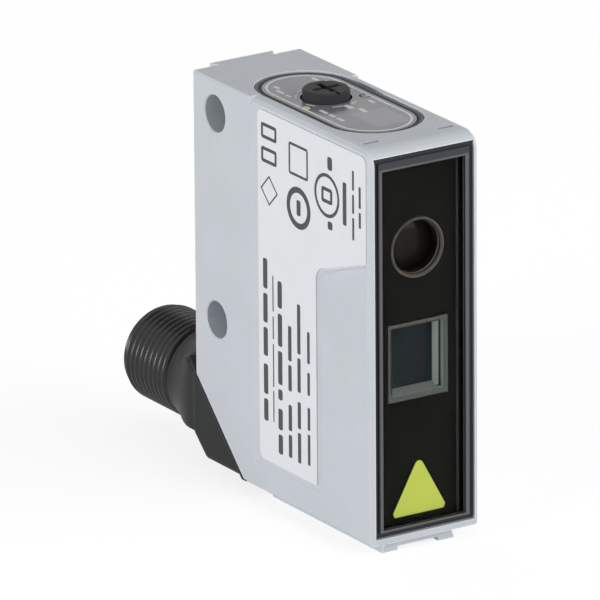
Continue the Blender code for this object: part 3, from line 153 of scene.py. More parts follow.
class Finish:
    """A node material under construction: a Principled shader and the nodes that feed it."""

    def __init__(self, name, base=(0.8, 0.8, 0.8), roughness=0.5, **sockets):
        self.material = bpy.data.materials.new(name)
        self.material.use_nodes = True
        self.tree = self.material.node_tree
        self.shader = self.tree.nodes["Principled BSDF"]
        self.set("Base Color", (*base, 1.0))
        self.set("Roughness", roughness)
        for socket, value in sockets.items():
            self.set(socket.replace("_", " "), value)
        self.material.diffuse_color = (*base, 1.0)
        self.place = self.tree.nodes.new("ShaderNodeTexCoord").outputs["Object"]
        self.height = None

    def set(self, socket, value):
        """Set a constant on the shader."""
        self.shader.inputs[socket].default_value = value

    def feed(self, socket, source):
        """Join an output, or a number or colour, to a socket."""
        if isinstance(source, bpy.types.NodeSocket):
            self.tree.links.new(source, socket)
        elif isinstance(source, tuple) and len(source) == 3 and socket.type == "RGBA":
            socket.default_value = (*source, 1.0)
        else:
            socket.default_value = source

    def math(self, operation, first, second=0.0):
        """One step of arithmetic."""
        node = self.tree.nodes.new("ShaderNodeMath")
        node.operation = operation
        for socket, source in zip(node.inputs, (first, second)):
            self.feed(socket, source)
        return node.outputs[0]

    def moved(self, centre=(0.0, 0.0, 0.0), stretch=(1.0, 1.0, 1.0)):
        """Object coordinates from another centre, stretched if asked."""
        node = self.tree.nodes.new("ShaderNodeMapping")
        node.vector_type = "TEXTURE"
        node.inputs["Location"].default_value = centre
        node.inputs["Scale"].default_value = stretch
        self.feed(node.inputs["Vector"], self.place)
        return node.outputs[0]

    def split(self, vector):
        """X, Y and Z of a vector."""
        node = self.tree.nodes.new("ShaderNodeSeparateXYZ")
        self.feed(node.inputs[0], vector)
        return node.outputs

    def noise(self, size, detail=3.0, rough=0.55, place=None):
        """Noise whose blotches are about one size across."""
        node = self.tree.nodes.new("ShaderNodeTexNoise")
        self.feed(node.inputs["Vector"], place or self.place)
        node.inputs["Scale"].default_value = 1.0 / size
        node.inputs["Detail"].default_value = detail
        node.inputs["Roughness"].default_value = rough
        return node.outputs["Fac"]

    def cells(self, size):
        """Distance to the nearest of many scattered points, for grain."""
        node = self.tree.nodes.new("ShaderNodeTexVoronoi")
        self.feed(node.inputs["Vector"], self.place)
        node.inputs["Scale"].default_value = 1.0 / size
        return node.outputs["Distance"]

    def ramp(self, source, low, high, start=0.0, end=1.0):
        """Map a range of values on another."""
        node = self.tree.nodes.new("ShaderNodeMapRange")
        node.interpolation_type = "SMOOTHSTEP"
        limits = (("From Min", start), ("From Max", end), ("To Min", low), ("To Max", high))
        for name, value in (("Value", source), *limits):
            self.feed(node.inputs[name], value)
        return node.outputs[0]

    def mix(self, share, first, second):
        """Mix two colours."""
        node = self.tree.nodes.new("ShaderNodeMix")
        node.data_type = "RGBA"
        sockets = [socket for socket in node.inputs if socket.type == "RGBA"]
        self.feed(node.inputs["Factor"], share)
        self.feed(sockets[0], first)
        self.feed(sockets[1], second)
        return next(socket for socket in node.outputs if socket.type == "RGBA")

    def clouded(self, base, low, high, size):
        """A colour that drifts between a darker and a lighter share of itself."""
        cloud = self.ramp(self.noise(size, 2.0), 0.0, 1.0, 0.3, 0.7)
        return self.mix(cloud, shade_of(base, low), shade_of(base, high))

    def paint(self, source):
        """Give the shader its colour."""
        self.feed(self.shader.inputs["Base Color"], source)

    def gloss(self, source):
        """Give the shader its roughness."""
        self.feed(self.shader.inputs["Roughness"], source)

    def bump(self, height, distance, strength=1.0):
        """Add a relief on top of what the shader has already."""
        node = self.tree.nodes.new("ShaderNodeBump")
        node.inputs["Strength"].default_value = strength
        node.inputs["Distance"].default_value = distance
        self.feed(node.inputs["Height"], height)
        if self.height is not None:
            self.feed(node.inputs["Normal"], self.height)
        self.height = node.outputs[0]
        self.feed(self.shader.inputs["Normal"], self.height)

    def soften(self, radius):
        """Shade the edges as if they were rounded, before any relief is added."""
        self.height = self.rounded_normal(radius)
        self.feed(self.shader.inputs["Normal"], self.height)

    def rounded_normal(self, radius):
        """Normals of the same shape with its edges rounded."""
        node = self.tree.nodes.new("ShaderNodeBevel")
        node.samples = 6
        node.inputs["Radius"].default_value = radius
        return node.outputs["Normal"]

    def edges(self, radius):
        """1 along the edges of a shape, 0 on its faces."""
        plain = self.tree.nodes.new("ShaderNodeNewGeometry")
        dot = self.tree.nodes.new("ShaderNodeVectorMath")
        dot.operation = "DOT_PRODUCT"
        self.feed(dot.inputs[0], self.rounded_normal(radius))
        self.feed(dot.inputs[1], plain.outputs["Normal"])
        return self.ramp(dot.outputs["Value"], 1.0, 0.0, 0.86, 0.995)

    def band(self, source, low, high, soft=0.03 * MM):
        """1 between two values, 0 beyond them, with soft edges."""
        rise = self.ramp(source, 0.0, 1.0, low - soft, low + soft)
        fall = self.ramp(source, 1.0, 0.0, high - soft, high + soft)
        return self.math("MULTIPLY", rise, fall)

    def field(self, across, along, middle, half, soft):
        """1 inside a plain rectangle on two axes, 0 outside, with a soft edge."""
        sides = []
        for axis, centre, reach in ((across, middle[0], half[0]), (along, middle[1], half[1])):
            away = self.math("ABSOLUTE", self.math("SUBTRACT", axis, centre))
            sides.append(self.ramp(away, 1.0, 0.0, reach - soft, reach + soft))
        return self.math("MULTIPLY", *sides)


def shade_of(base, share):
    """A colour made lighter or darker by a share."""
    return tuple(min(1.0, part * share) for part in base)


def moulded(name, base, roughness, grain, depth, **sockets):
    """Moulded plastic: a fine eroded grain, slightly uneven gloss and tone."""
    made = Finish(name, base, roughness, **sockets)
    made.tone = made.clouded(base, 0.92, 1.08, 6 * MM)
    made.paint(made.tone)
    fine = made.noise(grain, 4.0, 0.6)
    made.gloss(made.ramp(fine, roughness - 0.05, roughness + 0.07, 0.3, 0.7))
    made.bump(fine, depth, 0.6)
    return made


def housing_finish(sizes, colours):
    """Satin silver paint: soft orange peel, small bright flakes, a faint cloudiness and a painted highlight along its
    edges.
    """
    base = tuple(colours.paint)
    made = Finish("housing_paint", base, 0.46, Metallic=0.06, Specular_IOR_Level=0.25)
    flake = made.cells(sizes.paint_grain / 2)
    tone = made.clouded(base, 0.975, 1.02, 9 * MM)
    painted = made.mix(made.ramp(flake, 0.0, 0.22, 0.55, 0.75), tone, shade_of(base, 1.18))
    # Painted highlight: the edges are mixed towards a lighter copy of the paint, as if the rounded casting edges
    # caught the light.
    made.paint(made.mix(made.edges(0.22 * MM), painted, shade_of(base, 1.42)))
    made.gloss(made.ramp(made.noise(sizes.paint_grain * 3, 3.0), 0.42, 0.54, 0.3, 0.7))
    made.bump(made.noise(sizes.paint_grain * 4, 2.0), 0.012 * MM, 0.5)
    made.bump(made.noise(sizes.paint_grain, 3.0), 0.006 * MM, 0.6)
    return made


def plate_finish(sizes, colours):
    """Bare foil with a faint sheen and fine grain."""
    base = tuple(colours.foil)
    made = Finish("plate_foil", base, 0.36, IOR=1.42)
    made.paint(made.clouded(base, 0.985, 1.015, 5 * MM))
    made.gloss(made.ramp(made.noise(0.3 * MM, 3.0), 0.32, 0.42, 0.3, 0.7))
    made.bump(made.noise(0.12 * MM, 3.0), 0.003 * MM, 0.5)
    return made


def ink_finish(name, base):
    """Printed ink, slightly uneven in tone and gloss."""
    made = Finish(name, base, 0.42, Specular_IOR_Level=0.3)
    made.paint(made.mix(made.noise(0.5 * MM, 3.0), shade_of(base, 0.85), shade_of(base, 1.15)))
    made.gloss(made.ramp(made.noise(0.2 * MM), 0.36, 0.50, 0.3, 0.7))
    made.bump(made.noise(0.08 * MM), 0.002 * MM, 0.4)
    return made


def dark_ink_finish(sizes, colours):
    """Dark ink of the name plate's plain print."""
    return ink_finish("dark_ink", tuple(colours.foil_print))


def pale_ink_finish(sizes, colours):
    """Pale ink of the control window's plain print."""
    return ink_finish("pale_ink", tuple(colours.window_print))


def front_frame_finish(sizes, colours):
    """Dark grey plastic of the front frame: its front face painted lighter than the walls behind it, a painted
    highlight on its bead towards the opening, and a paler band round the inner wall.
    """
    lit_face_grey, painted_highlight_grey = (0.043, 0.045, 0.053), (0.128, 0.130, 0.138)
    made = moulded("frame_plastic", tuple(colours.trim), 0.38, 0.10 * MM, 0.006 * MM, Specular_IOR_Level=0.25)
    x, y, z = made.split(made.place)
    beside = made.math("SUBTRACT", made.math("ABSOLUTE", x), FRAME_OPENING)
    above = made.math("SUBTRACT", z, FRAME_HIGH.z - FRAME_HEAD)
    below = made.math("SUBTRACT", FRAME_LOW.z + FRAME_FOOT, z)
    ends = made.math("MULTIPLY", made.math("MAXIMUM", above, below), 1.5)
    outward = made.math("MAXIMUM", beside, ends)
    # Painted light: the front face is lighter than the walls behind it, and the bead by the opening carries a painted
    # highlight; a band round the inner wall, set back from the face, takes the same grey at three quarters.
    front = made.ramp(y, 1.0, 0.0, FRAME_LOW.y + 0.05 * MM, FRAME_LOW.y + 0.16 * MM)
    bead = made.math("MULTIPLY", made.ramp(outward, 1.0, 0.0, 0.30 * MM, 0.58 * MM), front)
    line = made.band(y, FRAME_LOW.y + 0.42 * MM, FRAME_LOW.y + 0.80 * MM)
    highlight_and_band = made.math("MAXIMUM", bead, made.math("MULTIPLY", line, 0.75))
    made.paint(made.mix(highlight_and_band, made.mix(front, made.tone, lit_face_grey), painted_highlight_grey))
    return made


def rubber_finish(sizes, colours):
    """Black seal rubber with a dry, uneven surface."""
    return moulded("rubber", (0.018, 0.018, 0.019), 0.72, 0.12 * MM, 0.010 * MM)


def pane_finish(sizes, colours):
    """Coated clear pane with a trace of dust."""
    made = Finish("front_glass", (0.97, 0.985, 0.98), 0.0, Transmission_Weight=1.0, IOR=1.06)
    made.gloss(made.ramp(made.noise(1.5 * MM, 4.0), 0.0, 0.06, 0.55, 0.85))
    return made


def optics_finish(sizes, colours):
    """Black panel that holds both windows, with a paler strip down each side."""
    pale = (0.046, 0.047, 0.050)
    made = moulded("optics_plastic", tuple(colours.optics), 0.50, 0.10 * MM, 0.004 * MM, Specular_IOR_Level=0.02)
    x, y, _ = made.split(made.place)
    strip = made.math("MULTIPLY", made.band(made.math("ABSOLUTE", x), STRIP_INNER, STRIP_OUTER),
                      made.ramp(y, 1.0, 0.0, RING_LOW.y + 0.05 * MM, RING_LOW.y + 0.10 * MM))
    made.paint(made.mix(strip, made.tone, pale))
    return made


def ring_finish(sizes, colours):
    """Dark anodised ring with the fine lines of turning; its bore is painted in shade, with a painted highlight on a
    lip inside it.
    """
    base = tuple(colours.ring)
    made = Finish("ring_metal", base, 0.38, Metallic=0.55)
    centre = (RING_LOW + RING_HIGH) / 2
    x, _, z = made.split(made.moved(tuple(centre)))
    _, depth, _ = made.split(made.place)
    radius = made.math("SQRT", made.math("ADD", made.math("MULTIPLY", x, x), made.math("MULTIPLY", z, z)))
    lines = made.math("SINE", made.math("MULTIPLY", radius, 2 * math.pi / (0.11 * MM)))
    turned = made.mix(made.ramp(lines, 0.0, 1.0, -1.0, 1.0), shade_of(base, 0.9), shade_of(base, 1.12))
    # Painted shade: inside the bore the ring is darkened to a tenth of its colour, except for a band at the lip that
    # gets a painted highlight seven times as light.
    bore = made.math("MULTIPLY", made.ramp(radius, 1.0, 0.0, RING_BORE - 0.02 * MM, RING_BORE + 0.02 * MM),
                     made.ramp(depth, 0.0, 1.0, RING_LOW.y + 0.06 * MM, RING_LOW.y + 0.12 * MM))
    lip_highlight = made.band(depth, RING_LOW.y + 0.42 * MM, RING_LOW.y + 0.72 * MM)
    inside = made.mix(lip_highlight, shade_of(base, 0.10), shade_of(base, 7.0))
    made.paint(made.mix(bore, turned, inside))
    made.gloss(made.ramp(made.noise(0.5 * MM), 0.32, 0.46, 0.3, 0.7))
    made.bump(lines, 0.003 * MM, 0.5)
    return made


def lens_finish(sizes, colours):
    """Dark coated lens: brown behind the round window, with faint upright tints behind the square one."""
    made = Finish("lens_glass", (0.012, 0.014, 0.016), 0.06, Transmission_Weight=0.35, IOR=1.22)
    _, _, z = made.split(made.place)
    upper = made.ramp(z, 0.0, 1.0, RIM_HIGH.z, RING_LOW.z)
    streaks = made.noise(1.0, 2.0, place=made.moved(stretch=(1.5 * MM, 20 * MM, 14 * MM)))
    plum, teal, brown = (0.010, 0.007, 0.008), (0.010, 0.024, 0.030), (0.009, 0.0055, 0.0045)
    tints = made.mix(made.ramp(streaks, 0.0, 1.0, 0.38, 0.62), plum, teal)
    made.paint(made.mix(upper, tints, brown))
    made.gloss(made.ramp(made.noise(1.0 * MM, 3.0), 0.05, 0.11, 0.4, 0.8))
    made.bump(made.noise(1.6 * MM, 2.0), 0.004 * MM, 0.3)
    return made


def rim_finish(sizes, colours):
    """Grey-green rim of the square window: painted light on the steps of its far wall and on its foot's wall, painted
    shade over the rest of its far wall and on the walls that face the frame, and a lighter grey along their outer
    left and top edges.
    """
    base = tuple(colours.rim)
    made = moulded("rim_plastic", base, 0.34, 0.12 * MM, 0.004 * MM, Specular_IOR_Level=0.20)
    x, y, z = made.split(made.place)
    soft = 0.05 * MM
    far = made.ramp(x, 0.0, 1.0, RIM_HIGH.x - RIM_WALL - soft, RIM_HIGH.x - RIM_WALL + soft)
    foot = made.ramp(z, 1.0, 0.0, RIM_LOW.z + RIM_WALL - soft, RIM_LOW.z + RIM_WALL + soft)
    inner = made.ramp(y, 0.0, 1.0, RIM_LOW.y + 0.04 * MM, RIM_LOW.y + 0.12 * MM)
    step = made.band(y, RIM_LOW.y + 0.50 * MM, RIM_LOW.y + 0.80 * MM)
    deep = made.ramp(y, 0.0, 1.0, RIM_LOW.y + 0.70 * MM, RIM_LOW.y + 0.86 * MM)
    edge = made.math("MAXIMUM", made.ramp(x, 1.0, 0.0, RIM_LOW.x + 0.24 * MM, RIM_LOW.x + 0.32 * MM),
                     made.ramp(z, 0.0, 1.0, RIM_HIGH.z - 0.40 * MM, RIM_HIGH.z - 0.32 * MM))
    # Painted shade on the walls that face the frame and on the far wall round its steps; painted light on the far
    # wall's steps and on the foot's wall, which face the light.
    shadow, outer_grey = (0.012, 0.012, 0.012), (0.078, 0.072, 0.067)
    far_wall_shade, lit_step, lit_step_deep = (0.020, 0.024, 0.021), (0.230, 0.265, 0.235), (0.400, 0.450, 0.410)
    foot_face, lit_foot_wall = (0.068, 0.075, 0.069), (0.165, 0.178, 0.165)
    plain = made.mix(edge, shadow, outer_grey)
    side = made.mix(inner, base, made.mix(step, made.mix(deep, lit_step, lit_step_deep), far_wall_shade))
    lit_ledge = made.mix(inner, foot_face, lit_foot_wall)
    made.paint(made.mix(far, made.mix(foot, plain, lit_ledge), side))
    return made


def metal(name, base, roughness, stretch, grain):
    """Bright metal with a fine drawn grain."""
    made = Finish(name, base, roughness, Metallic=1.0)
    place = made.moved(stretch=stretch)
    streaks = made.noise(grain, 3.0, place=place)
    made.paint(made.mix(streaks, shade_of(base, 0.88), shade_of(base, 1.1)))
    made.gloss(made.ramp(streaks, roughness - 0.07, roughness + 0.09, 0.3, 0.7))
    made.bump(streaks, 0.003 * MM, 0.4)
    return made


def brass_finish(sizes, colours):
    """Turned brass of the laser's holder."""
    return metal("brass", (0.60, 0.43, 0.18), 0.32, (1.0, 0.2, 1.0), 0.15 * MM)


def steel_finish(sizes, colours):
    """Steel of the laser's can and of the clip."""
    return metal("steel", (0.60, 0.60, 0.61), 0.28, (1.0, 0.2, 1.0), 0.15 * MM)


def pin_finish(sizes, colours):
    """Gold-plated contact pins."""
    return metal("pin_gold", (0.83, 0.62, 0.24), 0.22, (1.0, 4.0, 1.0), 0.10 * MM)


def board_finish(sizes, colours):
    """Circuit board: green mask over copper tracks and small pads."""
    made = Finish("board", (0.02, 0.15, 0.06), 0.35)
    bricks = made.tree.nodes.new("ShaderNodeTexBrick")
    made.feed(bricks.inputs["Vector"], made.moved(stretch=(0.8 * MM, 0.8 * MM, 0.8 * MM)))
    for name, value in (("Scale", 1.0), ("Mortar Size", 0.12), ("Mortar Smooth", 0.2)):
        bricks.inputs[name].default_value = value
    tracks = bricks.outputs["Fac"]
    made.paint(made.mix(tracks, (0.012, 0.11, 0.045), (0.030, 0.20, 0.080)))
    pads = made.ramp(made.cells(1.1 * MM), 1.0, 0.0, 0.16, 0.20)
    made.gloss(made.ramp(pads, 0.35, 0.22))
    made.bump(tracks, 0.02 * MM, 0.5)
    return made


def chip_finish(sizes, colours):
    """Black moulding compound of the chips."""
    return moulded("chip_plastic", (0.018, 0.018, 0.020), 0.55, 0.08 * MM, 0.006 * MM)


def window_finish(sizes, colours):
    """Smoked control window, paler over the place of its display."""
    base = tuple(colours.window)
    made = Finish("window_plastic", base, 0.16, IOR=1.40)
    x, y, _ = made.split(made.place)
    display = made.field(x, y, DISPLAY_MIDDLE, DISPLAY_HALF, 0.35 * MM)
    made.paint(made.mix(display, made.clouded(base, 0.93, 1.07, 4 * MM), shade_of(base, 1.35)))
    made.gloss(made.ramp(made.noise(1.2 * MM, 3.0), 0.13, 0.22, 0.3, 0.7))
    made.bump(made.noise(0.5 * MM, 2.0), 0.003 * MM, 0.4)
    return made


def lamp(name, base, glow):
    """Light pipe, lit a little from within."""
    made = Finish(name, base, 0.22, Transmission_Weight=0.25, IOR=1.46)
    centre = made.noise(0.8 * MM, 2.0)
    made.paint(made.mix(centre, shade_of(base, 0.85), shade_of(base, 1.15)))
    made.set("Emission Color", (*base, 1.0))
    made.set("Emission Strength", glow)
    made.bump(made.noise(0.3 * MM), 0.004 * MM, 0.4)
    return made


def lamp_green_finish(sizes, colours):
    """Pale yellow-green lamp, lit."""
    return lamp("lamp_green", (0.62, 0.66, 0.38), 0.15)


def lamp_amber_finish(sizes, colours):
    """Amber lamp, not lit."""
    return lamp("lamp_amber", (0.30, 0.24, 0.17), 0.0)


def knob_finish(sizes, colours):
    """Dark plastic of the selector knob."""
    return moulded("knob_plastic", tuple(colours.knob), 0.48, 0.10 * MM, 0.006 * MM, Specular_IOR_Level=0.05)


def patch_finish(sizes, colours):
    """Plain yellow-green foil under the windows."""
    base = tuple(colours.patch)
    made = Finish("patch_foil", base, 0.40)
    made.paint(made.mix(made.noise(1.5 * MM, 2.0), shade_of(base, 0.95), shade_of(base, 1.05)))
    made.gloss(made.ramp(made.noise(0.3 * MM), 0.34, 0.46, 0.3, 0.7))
    made.bump(made.noise(0.12 * MM), 0.003 * MM, 0.5)
    return made


def plug_finish(sizes, colours):
    """Black glass-filled plastic of the plug, softly shaded over the facets of its neck."""
    base = tuple(colours.plug)
    made = Finish("plug_plastic", base, 0.42, Specular_IOR_Level=0.10)
    made.soften(0.8 * MM)
    made.paint(made.clouded(base, 0.9, 1.1, 6 * MM))
    fine = made.noise(0.14 * MM, 4.0, 0.6)
    made.gloss(made.ramp(fine, 0.38, 0.50, 0.3, 0.7))
    made.bump(fine, 0.010 * MM, 0.6)
    return made


def thread_finish(sizes, colours):
    """The same plastic on the thread, glossier, and painted darker than the plug as painted shade."""
    # Painted shade: the plug's colour at less than half.
    base = shade_of(tuple(colours.plug), 0.45)
    return moulded("thread_plastic", base, 0.26, 0.14 * MM, 0.004 * MM, Specular_IOR_Level=0.48)


def seal_finish(sizes, colours):
    """Seal round the control window: painted shade, black against the window and grading to the grey of a shaded
    chamfer towards the housing.
    """
    made = Finish("seal_rubber", (0.02, 0.02, 0.021), 0.6, Specular_IOR_Level=0.2)
    x, y, _ = made.split(made.place)
    reach = (WINDOW_HIGH.y - WINDOW_LOW.y - WINDOW_HIGH.x + WINDOW_LOW.x) / 2
    along = made.math("ABSOLUTE", made.math("SUBTRACT", y, (WINDOW_HIGH.y + WINDOW_LOW.y) / 2))
    past = made.math("MAXIMUM", made.math("SUBTRACT", along, reach), 0.0)
    away = made.math("SQRT", made.math("ADD", made.math("MULTIPLY", x, x), made.math("MULTIPLY", past, past)))
    # Painted shade: the seal grades from black at the window to a shaded grey towards the housing.
    outer_grey = made.ramp(away, 0.0, 1.0, WINDOW_HIGH.x + 0.22 * MM, WINDOW_HIGH.x + 0.75 * MM)
    grain = made.noise(0.12 * MM, 4.0, 0.6)
    black, less_black, shaded_chamfer_grey = (0.016, 0.016, 0.018), (0.026, 0.026, 0.028), (0.230, 0.240, 0.255)
    made.paint(made.mix(outer_grey, made.mix(grain, black, less_black), shaded_chamfer_grey))
    made.gloss(made.ramp(grain, 0.55, 0.70, 0.3, 0.7))
    made.bump(grain, 0.008 * MM, 0.6)
    return made


FINISHES = {
    "housing_paint": housing_finish, "plate_foil": plate_finish, "frame_plastic": front_frame_finish,
    "rubber": rubber_finish, "front_glass": pane_finish, "optics_plastic": optics_finish,
    "ring_metal": ring_finish, "lens_glass": lens_finish, "rim_plastic": rim_finish, "brass": brass_finish,
    "steel": steel_finish, "board": board_finish, "chip_plastic": chip_finish, "window_plastic": window_finish,
    "lamp_green": lamp_green_finish, "lamp_amber": lamp_amber_finish, "knob_plastic": knob_finish,
    "patch_foil": patch_finish, "plug_plastic": plug_finish, "pin_gold": pin_finish,
    "dark_ink": dark_ink_finish, "pale_ink": pale_ink_finish, "thread_plastic": thread_finish,
    "seal_rubber": seal_finish,
}


def finish_named(slot):
    """The node material of a slot, made when it is first asked for."""
    found = bpy.data.materials.get("look_" + slot)
    if found:
        return found
    scene = bpy.context.scene
    made = FINISHES[slot](scene.sensor_sizes, scene.sensor_colours).material
    made.name = "look_" + slot
    return made


def wear(piece, slot):
    """Give a piece the one material of a slot."""
    piece.data.materials.clear()
    piece.data.materials.append(finish_named(slot))


def select_none():
    """Leave edit mode and deselect everything."""
    if bpy.context.object and bpy.context.object.mode != "OBJECT":
        bpy.ops.object.mode_set(mode="OBJECT")
    bpy.ops.object.select_all(action="DESELECT")


def start_piece(name):
    """Name the primitive that was just added, and return it."""
    piece = bpy.context.object
    piece.name = name
    piece.data.name = name
    return piece


def settle(piece):
    """Put a piece's place into its mesh, as the CAD nodes have it."""
    select_none()
    piece.select_set(True)
    bpy.context.view_layer.objects.active = piece
    bpy.ops.object.transform_apply(location=True, rotation=True, scale=True)


def edit(piece, mode="VERT"):
    """Open a piece in edit mode with nothing selected."""
    select_none()
    piece.select_set(True)
    bpy.context.view_layer.objects.active = piece
    bpy.ops.object.mode_set(mode="EDIT")
    bpy.ops.mesh.select_mode(type=mode)
    bpy.ops.mesh.select_all(action="DESELECT")


def finish_piece(piece, body, slot, smooth=30.0, look=None):
    """Clean a piece's normals, shade it and hang it on its body."""
    edit(piece)
    bpy.ops.mesh.select_all(action="SELECT")
    bpy.ops.mesh.remove_doubles(threshold=1e-6)
    bpy.ops.mesh.normals_make_consistent(inside=False)
    bpy.ops.object.mode_set(mode="OBJECT")
    bpy.ops.object.shade_smooth_by_angle(angle=math.radians(smooth))
    settle(piece)
    wear(piece, look or slot)
    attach(piece, body)


# CAD parts that wear a look of their own in place of their slot's
OWN_LOOKS = {"panel_seal": "seal_rubber"}


class SENSOR_OT_finishes(bpy.types.Operator):
    """Give every CAD node the node material of its own slot."""

    bl_idname = "sensor.finishes"
    bl_label = "Finish the CAD parts"

    def execute(self, context):
        slots = {row["node"]: row["material_slot"] for row in frame["record"]["subparts"]}
        for name, node in frame["nodes"].items():
            wear(node, OWN_LOOKS.get(name, slots[name]))
        return {"FINISHED"}


def thread_radius(along, turn, sizes, outer):
    """Radius of the threaded sleeve's outside at a place along it and a turn round it."""
    length = THREAD_HIGH.y - THREAD_LOW.y
    phase = (along / sizes.thread_pitch - turn) % 1.0
    ridge = 0.5 + 0.5 * math.cos(2 * math.pi * phase)
    run_in = min(1.0, max(0.0, (along - THREAD_START) / THREAD_RUN))
    run_out = min(1.0, max(0.0, (length - THREAD_START - along) / THREAD_RUN))
    crest = outer - sizes.thread_depth * (1.0 - min(run_in, run_out)) * THREAD_SINK
    return crest - sizes.thread_depth * ridge


class SENSOR_OT_thread(bpy.types.Operator):
    """Threaded end of the plug, with a helical ridge round it."""

    bl_idname = "sensor.thread"
    bl_label = "Plug thread"

    def execute(self, context):
        sizes = context.scene.sensor_sizes
        outer = (THREAD_HIGH.x - THREAD_LOW.x) / 2
        length = THREAD_HIGH.y - THREAD_LOW.y
        rings = RINGS_PER_TURN * round(length / sizes.thread_pitch)
        select_none()
        bpy.ops.mesh.primitive_cylinder_add(
            vertices=THREAD_SIDES, radius=outer, depth=length, end_fill_type="NGON", location=tuple(THREAD_MID),
            rotation=(math.radians(90), 0.0, 0.0))
        piece = start_piece("plug_thread")
        settle(piece)
        edit(piece, "FACE")
        bpy.ops.object.mode_set(mode="OBJECT")
        for face in piece.data.polygons:
            face.select = abs(face.normal.y) > 0.5
        bpy.ops.object.mode_set(mode="EDIT")
        bpy.ops.mesh.inset(thickness=outer - THREAD_BORE - THREAD_MOUTH, use_even_offset=True)
        bpy.ops.mesh.inset(thickness=THREAD_MOUTH, use_even_offset=True)
        bpy.ops.mesh.bridge_edge_loops()
        bpy.ops.mesh.select_all(action="DESELECT")
        bpy.ops.object.mode_set(mode="OBJECT")
        for edge in piece.data.edges:
            ends = [piece.data.vertices[index].co for index in edge.vertices]
            rise = abs(ends[0].y - ends[1].y)
            edge.select = rise > length * 0.9 and math.hypot(ends[0].x, ends[0].z - THREAD_MID.z) > outer * OUTSIDE
        bpy.ops.object.mode_set(mode="EDIT")
        bpy.ops.mesh.select_mode(type="EDGE")
        bpy.ops.mesh.subdivide(number_cuts=rings - 1)
        bpy.ops.object.mode_set(mode="OBJECT")
        for vertex in piece.data.vertices:
            across, up = vertex.co.x, vertex.co.z - THREAD_MID.z
            if math.hypot(across, up) < outer * OUTSIDE:
                continue
            turn = math.atan2(up, across) / (2 * math.pi)
            radius = thread_radius(vertex.co.y - THREAD_LOW.y, turn, sizes, outer)
            scale = radius / math.hypot(across, up)
            vertex.co.x, vertex.co.z = across * scale, THREAD_MID.z + up * scale
        finish_piece(piece, "plug", "plug_plastic", 70.0, look="thread_plastic")
        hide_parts("threaded_sleeve")
        return {"FINISHED"}


def rounded(centre, half, radius, steps=4):
    """Outline of a rectangle with rounded corners, as flat points."""
    points = []
    for corner, (side, rise) in enumerate(((1, 1), (-1, 1), (-1, -1), (1, -1))):
        for step in range(steps + 1):
            angle = math.radians(90 * corner + 90 * step / steps)
            points.append((centre[0] + side * (half[0] - radius) + radius * math.cos(angle),
                           centre[1] + rise * (half[1] - radius) + radius * math.sin(angle)))
    return points


def ring_points(centre, radius, first=0.0, turn=360.0, steps=40):
    """Points round a centre, the last one left out where they close a full turn."""
    count = steps if turn >= 360.0 else steps + 1
    points = []
    for index in range(count):
        angle = math.radians(first + turn * index / steps)
        points.append((centre[0] + radius * math.cos(angle), centre[1] + radius * math.sin(angle)))
    return points


def printed_shape(points, line=0.0):
    """One flat printed shape, filled, or open inside where it has a line width."""
    select_none()
    bpy.ops.mesh.primitive_circle_add(vertices=len(points), radius=MM, fill_type="NGON")
    shape = bpy.context.object
    for vertex, point in zip(shape.data.vertices, points):
        vertex.co = point
    edit(shape, "FACE")
    bpy.ops.mesh.select_all(action="SELECT")
    if line:
        bpy.ops.mesh.inset(thickness=line, use_even_offset=True)
        bpy.ops.mesh.delete(type="FACE")
    bpy.ops.object.mode_set(mode="OBJECT")
    return shape


def printed_layer(name, shapes, lift):
    """Join flat shapes to one piece and give it the thickness of ink."""
    select_none()
    for shape in shapes:
        shape.select_set(True)
    bpy.context.view_layer.objects.active = shapes[0]
    bpy.ops.object.join()
    piece = start_piece(name)
    edit(piece, "FACE")
    bpy.ops.mesh.select_all(action="SELECT")
    bpy.ops.mesh.extrude_region_move(TRANSFORM_OT_translate={"value": lift})
    bpy.ops.object.mode_set(mode="OBJECT")
    return piece


# Plain bars on the name plate: distance from its rear edge, half height, and spans from its foot, in mm
PLATE_BARS = (
    (1.45, 0.46, ((4.9, 7.6), (8.2, 11.9), (12.9, 16.4), (17.0, 20.6), (21.2, 24.9))),
    (3.10, 0.11, ((5.2, 9.0), (9.5, 14.8), (15.4, 18.2), (18.8, 23.2))),
    (4.55, 0.46, ((1.6, 4.0), (4.6, 7.2), (8.3, 9.6), (10.2, 14.3), (14.9, 18.9), (19.6, 22.9))),
    (6.65, 0.36, ((1.8, 4.6), (5.1, 8.3), (10.0, 13.2), (13.7, 18.0))),
    (8.60, 0.34, ((1.7, 5.4), (5.9, 9.2), (10.4, 14.6), (15.1, 21.2))),
    (10.65, 0.27, ((2.0, 5.8), (6.3, 9.1), (10.6, 13.4), (14.5, 18.4))),
    (15.45, 0.50, ((32.2, 33.2), (39.4, 41.0))),
    (18.55, 0.38, ((33.6, 38.8),)),
    (20.35, 0.20, ((32.3, 35.0), (35.5, 37.8), (38.3, 40.7))),
    (21.75, 0.22, ((34.1, 36.0), (36.5, 39.1))),
)
# Plain open shapes there: centre, half size and line width, in mm
PLATE_FRAMES = (
    ((2.45, 37.6), (1.65, 0.95), 0.42), ((2.45, 40.5), (1.65, 0.95), 0.42), ((8.75, 38.7), (2.05, 1.95), 0.32),
    ((14.80, 36.2), (1.15, 0.95), 0.45))
PLATE_RINGS = (((8.75, 33.0), 2.55, 0.72), ((14.80, 36.2), 2.65, 0.42))
PLATE_DIAMOND = ((2.45, 33.4), 1.85, 0.2)
PLATE_BLOCK = ((8.75, 33.0), (0.42, 0.95))


